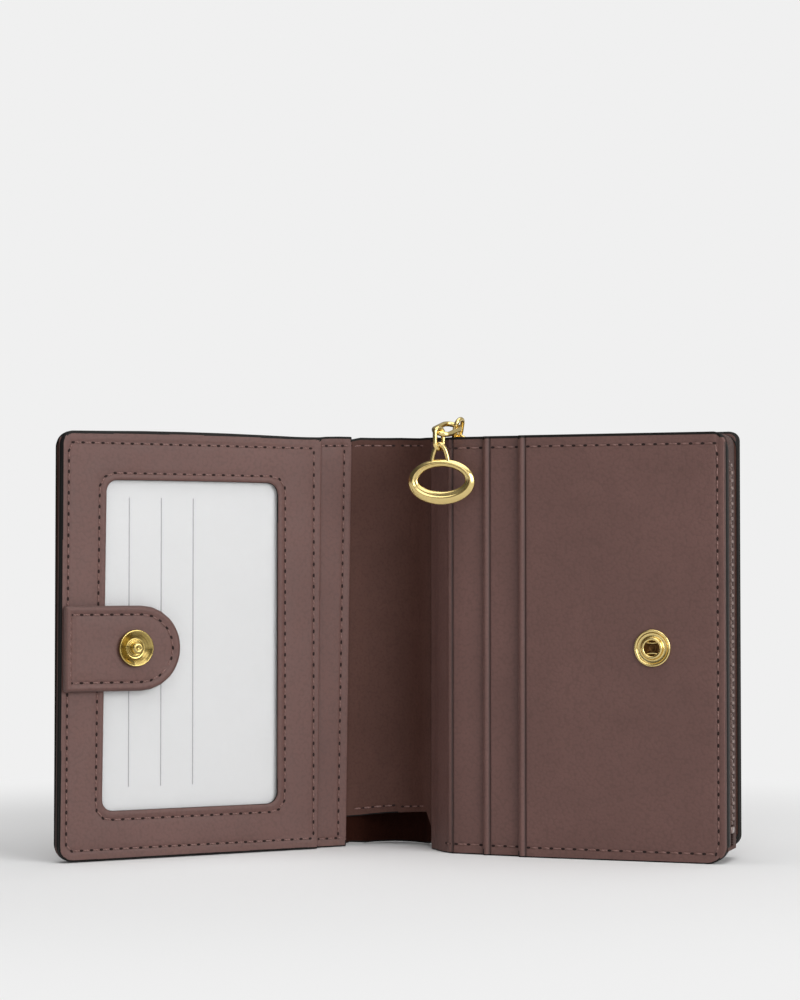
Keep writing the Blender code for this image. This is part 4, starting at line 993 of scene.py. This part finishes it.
# Snap. The socket is a turned brass eyelet: a rolled flange, a raised inner ring, and in its bore two
# spring wires that grip the stud. The stud has a dished flange and a round-headed post.
def brass(name, colour=(0.83, 0.64, 0.27), dull=0.0):
    """Polished light-gold plating, faintly clouded, with fine wiping marks in the bump."""
    finish = Finish(name)
    where = finish.place()
    cloud = finish.noise(where, 500.0, 3.0, 0.6)
    wiped = finish.node("ShaderNodeMapping", {}, {"Vector": where, "Scale": (1.0, 1.0, 7.0)})
    wipe = finish.noise(wiped, 1500.0, 2.0, 0.6)
    return finish.set(Base_Color=finish.mix(cloud, tuple(c * 0.80 for c in colour), colour), Metallic=1.0,
                      Roughness=0.13 + dull + 0.12 * cloud, Normal=finish.bump(wipe, 0.000012, 0.6))


GOLD = brass("gold_plating")
# The stud has the same plating, darkened as painted shade for the dark reflections in its dish.
STUD_GOLD_SHADED = brass("stud_plating_painted_shade", (0.50, 0.38, 0.135))
# A near-black brass colour for the floor of the socket's bore: painted shade in the hole.
BORE_SHADE = brass("socket_bore_painted_shade", (0.11, 0.055, 0.02), 0.25)


def turned(name, place, centre, profile, finish, radius=0.12):
    """A profile of (radius, depth) points turned about the depth axis through (distance, height). A
    small quadratic curve first cuts each corner of the profile, unless its radius is 0."""
    profile = np.asarray(profile, float)
    if radius:
        corner = profile[1:-1]
        near, far = (unit(way) * np.minimum(radius, 0.45 * np.linalg.norm(way, axis=1))[:, None]
                     for way in (profile[:-2] - corner, profile[2:] - corner))
        t = np.linspace(0.0, 1.0, 4)[None, :, None]
        curve = ((1 - t) ** 2 * (corner + near)[:, None] + 2 * t * (1 - t) * corner[:, None]
                 + t ** 2 * (corner + far)[:, None])
        profile = np.concatenate((profile[:1], curve.reshape(-1, 2), profile[-1:]))
    a = circle(64)[:, None]
    grid = place(centre[0] + profile[None, :, 0] * np.cos(a), profile[None, :, 1],
                 centre[1] + profile[None, :, 0] * np.sin(a))
    closed = bool(np.allclose(profile[0], profile[-1]))
    return surface(name, grid, (True, closed), finishes=(finish,), sharp=38.0)


SOCKET = (46.45, 47.04)
socket = turned("socket_eyelet", block, SOCKET, [
    (1.66, 0.5), (2.15, 0.5), (2.15, -0.06), (3.95, -0.06), (4.15, -0.24), (4.10, -0.48), (3.86, -0.62),
    (3.55, -0.50), (3.30, -0.24), (2.70, -0.20), (2.50, -0.42), (2.38, -0.95), (2.10, -1.10), (1.84, -1.02),
    (1.66, -0.70), (1.66, 0.5)], GOLD)
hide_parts("snap_socket")
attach(socket, "block")
# The bore's floor is a near-black disc: painted shade in the hole.
bore = turned("socket_bore", block, SOCKET, [
    (0.0, -0.05), (0.42, -0.06), (0.55, -0.26), (0.80, -0.34), (1.02, -0.26), (1.08, -0.04), (1.70, -0.03),
    (1.70, 0.02), (0.0, 0.02)], BORE_SHADE)
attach(bore, "block")
washer = turned("socket_washer", block, SOCKET, [
    (1.75, 0.75), (3.3, 0.75), (3.3, 1.05), (1.75, 1.05), (1.75, 0.75)], GOLD, 0.0)
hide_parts("snap_socket_washer")
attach(washer, "block")


def rod(name, path, radii, finish, closed=False, sides=16, up=(0.0, 0.0, 1.0), ridge=2.0, groove=0.0):
    """A tube: circles, or ovals where radii has two columns, square to a path in metres. The first
    axis of each is the path's direction crossed with up. The ridge is the power of the super-ellipse
    |cos|^p + |sin|^p = 1: 2 gives an oval, and less pulls it towards a lozenge with soft corners. The
    groove is a bell-shaped dent in both faces, on the side away from that first axis."""
    radii = np.broadcast_to(radii, (len(path), 2))[:, None] * 0.001
    along = unit(np.roll(path, -1, 0) - np.roll(path, 1, 0) if closed else np.gradient(path, axis=0))
    across = unit(np.cross(along, up))
    out = np.cross(across, along)
    a = circle(sides)[None, :, None]
    reach = (np.abs(np.cos(a)) ** ridge + np.abs(np.sin(a)) ** ridge) ** (-1.0 / ridge)
    reach = reach * (1.0 - groove * np.exp(-((np.cos(a) + 0.42) / 0.24) ** 2) * np.sin(a) ** 2)
    grid = path[:, None] + reach * (radii[..., :1] * np.cos(a) * across[:, None]
                                    + radii[..., 1:] * np.sin(a) * out[:, None])
    return surface(name, grid, (closed, True), finishes=(finish,), sharp=60.0)


for k, sign in enumerate((-1.0, 1.0)):
    run = np.linspace(-1.2, 1.2, 15)
    bow = sign * (1.25 - 0.12 * np.cos(run / 1.2 * math.pi / 2))
    wire = block(SOCKET[0] + run, -0.55, SOCKET[1] + bow)
    spring = rod(f"socket_spring_{k + 1}", wire, 0.16, GOLD, sides=10)
    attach(spring, "block")

STUD = (58.05, 46.95)
# Its darker plating is painted shade.
stud = turned("stud_flange_and_post", leaf, STUD, [
    (0.0, 4.95), (3.6, 4.95), (4.05, 5.20), (4.15, 5.80), (4.06, 6.12), (3.88, 6.20), (3.72, 6.10),
    (3.35, 5.78), (2.85, 5.42), (2.3, 5.12), (1.98, 5.08), (1.86, 5.26), (1.70, 5.34), (1.56, 5.26),
    (1.34, 5.26), (1.16, 5.70), (1.14, 6.35), (1.32, 6.58), (1.36, 6.85), (1.22, 7.1), (0.95, 7.23),
    (0.62, 7.24), (0.45, 7.12), (0.24, 6.98), (0.0, 6.95)], STUD_GOLD_SHADED)
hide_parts("snap_stud")
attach(stud, "tab")
rivet = turned("stud_rivet_cap", leaf, STUD, [
    (0.0, 3.20), (1.4, 3.215), (2.5, 3.25), (2.9, 3.32), (2.9, 3.5), (0.8, 3.56), (0.8, 5.4),
    (0.0, 5.4)], GOLD)
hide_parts("snap_stud_rivet")
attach(rivet, "tab")


# Coin pocket floor. A turned-up strip of lining leather closes the pocket at its foot.
pocket_floor = frame["nodes"]["gusset_bottom"]
pocket_floor.data.materials.clear()
# The lining's darker colour here is painted shade inside the pocket.
pocket_floor.data.materials.append(LINING_CALF_SHADED.material)


# Zip. Two woven tapes with brown nylon teeth moulded on their edges climb the right side, round the
# corner and run along the top to the gusset.
ZIP_FOOT, ZIP_RISE, ZIP_TURN, ZIP_RIGHT, ZIP_LEFT, ZIP_MIDDLE = 8.0, 78.2, 6.0, 62.35, -3.0, 7.2
ZIP_CORNER = ZIP_TURN * math.pi / 2
ZIP_LENGTH = ZIP_RISE + ZIP_CORNER + ZIP_RIGHT - ZIP_TURN - ZIP_LEFT


def zip_place(x, depth, z):
    """x is the distance along the zip, depth the height out of the tape, and z the place across it:
    straight up, then a quarter circle, then straight back along the top."""
    a = np.clip((x - ZIP_RISE) / ZIP_TURN, 0.0, math.pi / 2)
    past = np.maximum(x - ZIP_RISE - ZIP_CORNER, 0.0)
    radius = ZIP_TURN + depth
    return block(ZIP_RIGHT - ZIP_TURN + radius * np.cos(a) - past, z,
                 ZIP_FOOT + np.minimum(x, ZIP_RISE) + radius * np.sin(a))


def woven_tape():
    """Twill tape: slanting ribs crossed by fine threads, in UV millimetres along and across."""
    finish = Finish("zip_tape_twill")
    cloth = finish.node("ShaderNodeUVMap", {"uv_map": "cloth"})
    along = finish.node("ShaderNodeSeparateXYZ", {}, {0: cloth})
    across = Signal(finish, along.socket.node.outputs["Y"])
    rib = ((along + across.sum("PINGPONG", 0.9) * 1.4) * (2 * math.pi / 0.55)).sum("SINE")
    height = rib * 0.6 + (across * (2 * math.pi / 0.32)).sum("SINE") * 0.4
    fuzz = finish.noise(finish.place(), 2600.0, 3.0)
    base = finish.mix((height + fuzz * 0.6).ranged(-0.9, 1.4), (0.030, 0.015, 0.0125), (0.115, 0.066, 0.057))
    return finish.set(Base_Color=base, Roughness=0.86, Normal=finish.bump(height, 0.00008, 0.8))


TAPE = woven_tape()
for tape_name, cad_node, near, far, foot, head in (
        ("zip_tape_front_cloth", "zip_tape_front", 3.15, 5.79, -4.4, ZIP_LENGTH - 5.0),
        ("zip_tape_rear_cloth", "zip_tape_rear", 8.61, 11.5, -5.4, ZIP_LENGTH)):
    turn_end = ZIP_RISE + ZIP_CORNER
    x = np.concatenate((np.linspace(foot, ZIP_RISE, 30), np.linspace(ZIP_RISE, turn_end, 13)[1:],
                        np.linspace(turn_end, head, 24)[1:]))[:, None]
    z = np.array((near, near + 0.06, far - 0.06, far, far, far - 0.06, near + 0.06, near))[None, :]
    out = np.array((0.12, 0.25, 0.25, 0.12, -0.12, -0.25, -0.25, -0.12))[None, :]
    tape = surface(tape_name, zip_place(x, out, z), (False, True), finishes=(TAPE,),
                   uv=np.stack(np.broadcast_arrays(x, z), axis=-1))
    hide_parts(cad_node)
    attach(tape, "block")


# The tape is folded over itself at the corner, which fills it between the panel and the back cover.
def smoothed(values, reach):
    """Each value becomes the mean of its neighbours up to reach places away. The ends are repeated."""
    width = 2 * reach + 1
    return np.convolve(np.pad(values, reach, mode="edge"), np.ones(width) / width, mode="valid")


fold_line = np.array([(62.25, 86.0), (62.3, 90.0), (62.2, 93.0), (61.7, 94.0), (60.7, 94.35), (58.5, 94.2),
                      (56.3, 93.4), (55.2, 92.5)])
fold_run = measured(fold_line)
fold_x = np.linspace(0.0, 1.0, 40) * fold_run[-1]
fold_u, fold_z = (smoothed(np.interp(fold_x, fold_run, column), 3)[:, None] for column in fold_line.T)
ahead = unit(np.gradient(np.concatenate((fold_u, fold_z), axis=1), axis=0))
deep = np.array((5.0, 5.1, 8.0, 11.7, 11.8, 11.8, 11.7, 8.0, 5.1, 5.0))[None, :]
out = np.array((0.1, 0.22, 0.34, 0.22, 0.1, -0.1, -0.2, -0.1, -0.2, -0.1))[None, :]
fold_grid = block(fold_u + out * ahead[:, 1:], deep, fold_z - out * ahead[:, :1])
corner_fold = surface("zip_corner_fold", fold_grid, (False, True), finishes=(TAPE,),
                      uv=np.stack(np.broadcast_arrays(fold_x[:, None], deep), axis=-1))
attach(corner_fold, "block")


# Teeth. Moulded brown nylon with a waxy shine, mottled with pale patches that are painted glints, and a
# short stop of the same nylon clamped over both tapes at each end.
def tooth_row(direction, pitch=1.7):
    """All teeth of one side at once. Along a tooth, from its clamp to its head, the grid's rings keep a
    rounded-square outline whose width and height follow a table: clamp, neck, head, tip."""
    start = pitch / 2 if direction > 0 else 0.0
    centre = (start + 0.5 + pitch * np.arange(int(ZIP_LENGTH / pitch)))[:, None, None]
    reach, wide, tall = (np.array(row)[None, :, None] for row in (
        (1.34, 1.34, 1.15, 0.82, 0.62, 0.36, 0.26, 0.26),
        (0.0, 0.50, 0.52, 0.36, 0.44, 0.50, 0.34, 0.0), (0.0, 0.60, 0.66, 0.50, 0.56, 0.52, 0.36, 0.0)))
    a = (circle(10) + math.pi / 10)[None, None, :]
    square = 1.0 / np.maximum(np.abs(np.cos(a)), np.abs(np.sin(a))) * 0.35 + 0.65
    return zip_place(centre + wide * square * np.cos(a), tall * square * np.sin(a),
                     ZIP_MIDDLE + direction * reach)


# The mottle's pale end is painted glints on the dark nylon.
NYLON_AND_GLINTS = mottled("zip_tooth_nylon_and_glints", (900.0, 3.0, 0.6), (0.075, 0.040, 0.034), (0.270, 0.190, 0.165),
                0.20, 0.20, (0.00003, 0.5), Coat_Weight=0.5)
for row_name, cad_node, direction in (("zip_teeth_front_row", "zip_teeth_front", -1),
                                      ("zip_teeth_rear_row", "zip_teeth_rear", 1)):
    row = surface(row_name, tooth_row(direction), (False, True), finishes=(NYLON_AND_GLINTS,), sharp=40.0)
    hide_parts(cad_node)
    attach(row, "block")


def bar(name, low, high, reach):
    """A short clamp across the zip: a rounded box drawn as a super-ellipse grid."""
    t = np.linspace(-math.pi / 2, math.pi / 2, 11)[:, None]
    a = circle(24)[None, :]
    along, girth, up, across = (soft(v, 0.35) for v in (np.sin(t), np.cos(t), np.sin(a), np.cos(a)))
    return surface(name, zip_place((low + high) / 2 + (high - low) / 2 * along, 0.6 * girth * up,
                                   ZIP_MIDDLE + reach * girth * across),
                   (False, True), finishes=(NYLON_AND_GLINTS,), sharp=60.0)


for stop_name, cad_node, low, high, reach in (
        ("zip_bottom_clamp", "zip_bottom_stop", -1.8, -0.3, 1.35),
        ("zip_top_clamp", "zip_top_stop", ZIP_LENGTH + 0.3, ZIP_LENGTH + 1.05, 0.675)):
    stop = bar(stop_name, low, high, reach)
    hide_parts(cad_node)
    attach(stop, "block")


# Slider. A cast zip slider: two rounded plates with turned-in sides, joined by a web, and a wire
# bridge on top that the chain is linked through.
ZIP_TOP, SLIDER_LEFT, SLIDER_LENGTH = 92.2, -2.4, 8.0
share = np.linspace(0.0, 1.0, 25)[:, None]
edge = smoothed((3.8 + 2.6 * np.interp(share[:, 0], (0.0, 0.12, 0.35, 0.6, 0.82, 1.0),
                                       (0.0, 0.45, 0.85, 1.0, 0.75, 0.0))) / 2, 2)[:, None]
plate, lip_z, rail, web = 1.45, 0.55, 0.75, 0.15
inner_edge = np.minimum(1.65, edge - 0.12)
quarter = ((edge - 0.25, plate), (edge - 0.06, plate - 0.08), (edge, plate - 0.30), (edge, lip_z),
           (inner_edge, lip_z), (inner_edge, rail), (web, rail))
loop = [(y * a, z * b) for a, b, order in ((1, 1, 1), (1, -1, -1), (-1, -1, 1), (-1, 1, -1))
        for y, z in quarter[::order]]
loop_y, loop_z = (np.concatenate([np.broadcast_to(v, edge.shape) for v in values], axis=1)
                  for values in zip(*loop))
taper = np.array((0.80, 0.95) + (1.0,) * 21 + (0.95, 0.80))[:, None]
loop_z = loop_z * np.where(np.abs(loop_z) > 1.0, taper, 1.0)
slider = surface("slider_body", block(SLIDER_LEFT + SLIDER_LENGTH * share, ZIP_MIDDLE + loop_y,
                                      ZIP_TOP + loop_z), (False, True), finishes=(GOLD,), sharp=45.0)
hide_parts("zip_slider_body")
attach(slider, "slider")

bridge_x = np.linspace(0.5, 5.0, 30)
bridge_z = smoothed(np.interp(bridge_x, (0.5, 0.6, 0.9, 1.3, 1.9, 2.5, 3.4, 4.4, 4.9, 5.0),
                              (1.3, 2.2, 2.95, 3.2, 3.2, 2.85, 2.3, 2.0, 1.6, 1.2)), 1)
bridge = rod("slider_bridge", block(SLIDER_LEFT + bridge_x, ZIP_MIDDLE, ZIP_TOP + bridge_z), 0.42, GOLD,
             up=(*BLOCK[2], 0.0))
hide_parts("zip_slider_bridge")
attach(bridge, "slider")


# Chain. Three oval links of round wire and a plain oval hoop, all gold plated, that serve as the pull.
def turn_about(v, axis, degrees):
    """Rodrigues: the vector turned about an axis."""
    c, s = math.cos(math.radians(degrees)), math.sin(math.radians(degrees))
    return v * c + np.cross(axis, v) * s + axis * (axis @ v) * (1 - c)


def link(name, centre, length, width, along, across, cad_node, body, wire):
    """A link about a centre in the block's own (distance, depth, height) mm. Its middle line is two half
    circles joined by straight sides."""
    a = np.linspace(-math.pi / 2, math.pi / 2, 24)[:, None]
    end = along * ((length - width) / 2 + width / 2 * np.cos(a)) + across * (width / 2) * np.sin(a)
    path = block(*(centre + np.concatenate((end, -end))).T)
    up = block(*np.cross(along, across)) - block(0.0, 0.0, 0.0)
    piece = rod(name, path, wire, GOLD, closed=True, sides=14, up=unit(up))
    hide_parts(cad_node)
    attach(piece, body)


UP, BACK = np.array((0.0, 0.0, 1.0)), np.array((0.0, 1.0, 0.0))
rise = unit(np.array((0.28, -0.45, 0.85)))
flat = unit(np.cross(rise, np.cross(BACK, rise)))
link("chain_link_1", np.array((-1.0, ZIP_MIDDLE, ZIP_TOP + 3.2)) + rise * 1.55, 5.0, 3.2, rise,
     turn_about(flat, rise, -8.0), "pull_link_upper", "link_upper", 0.52)
link_rear, link_front = np.array((-1.2, 5.9, 97.6)), np.array((-2.5, -1.9, 95.4))
span = link_front - link_rear
ahead = unit(span)
link("chain_link_2", (link_rear + link_front) / 2, np.linalg.norm(span), 3.9, ahead,
     turn_about(unit(np.cross(UP, ahead)), ahead, -20.0), "pull_link_middle", "link_middle", 0.6)
LINK_LENGTH = 4.7
link_foot = link_front[2] + 1.1 - LINK_LENGTH
link("chain_link_3", np.array((-2.45, -1.9, link_foot + LINK_LENGTH / 2)), LINK_LENGTH, 2.4, UP,
     turn_about(BACK, UP, -32.0), "pull_link_lower", "link_lower", 0.54)

# The hoop's section is a rounded lozenge with a groove inside its ridge. It hangs turned a little
# towards the viewer, from a bail of round wire that spreads to both sides of its top.
HOOP_MIDDLE, HOOP_WIDE, HOOP_TALL = 84.32, 15.4, 10.3
hoop_across, hoop_away = (0.9928, 0.1197), (-0.1197, 0.9928)


def hoop_place(x, depth, z):
    """Places (x, depth, z) mm about the hoop's middle, turned by 7 degrees about the upright."""
    return block(-1.75 + hoop_across[0] * x + hoop_away[0] * depth,
                 -2.3 + hoop_across[1] * x + hoop_away[1] * depth, z)


a = circle(96)
band = 1.75 + 1.15 * (1 - np.cos(a)) / 2
hoop_up = unit(hoop_place(0.0, 1.0, 0.0) - hoop_place(0.0, 0.0, 0.0))
hoop_line = hoop_place((HOOP_WIDE - band) / 2 * np.sin(a), 0.0,
                       HOOP_MIDDLE + (HOOP_TALL - band) / 2 * np.cos(a))
hoop = rod("charm_hoop_band", hoop_line, np.stack((band / 2, 0.78 + 0 * a), axis=1), GOLD, closed=True,
           sides=40, up=hoop_up, ridge=1.35, groove=0.30)
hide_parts("charm")
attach(hoop, "charm_hoop")
bail_top = link_foot + 1.05
bail_drop = HOOP_MIDDLE + HOOP_TALL / 2 - 0.75 - bail_top
a = np.linspace(0.0, math.pi, 33)
spread = 1.5 + 0.4 * (1 - np.sin(a))
bail_line = hoop_place(-0.35 - spread * np.cos(a), 0.0, bail_top + bail_drop * (1 - np.sin(a)))
bail = rod("charm_bail", bail_line, 0.54, GOLD, up=hoop_up)
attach(bail, "charm_hoop")
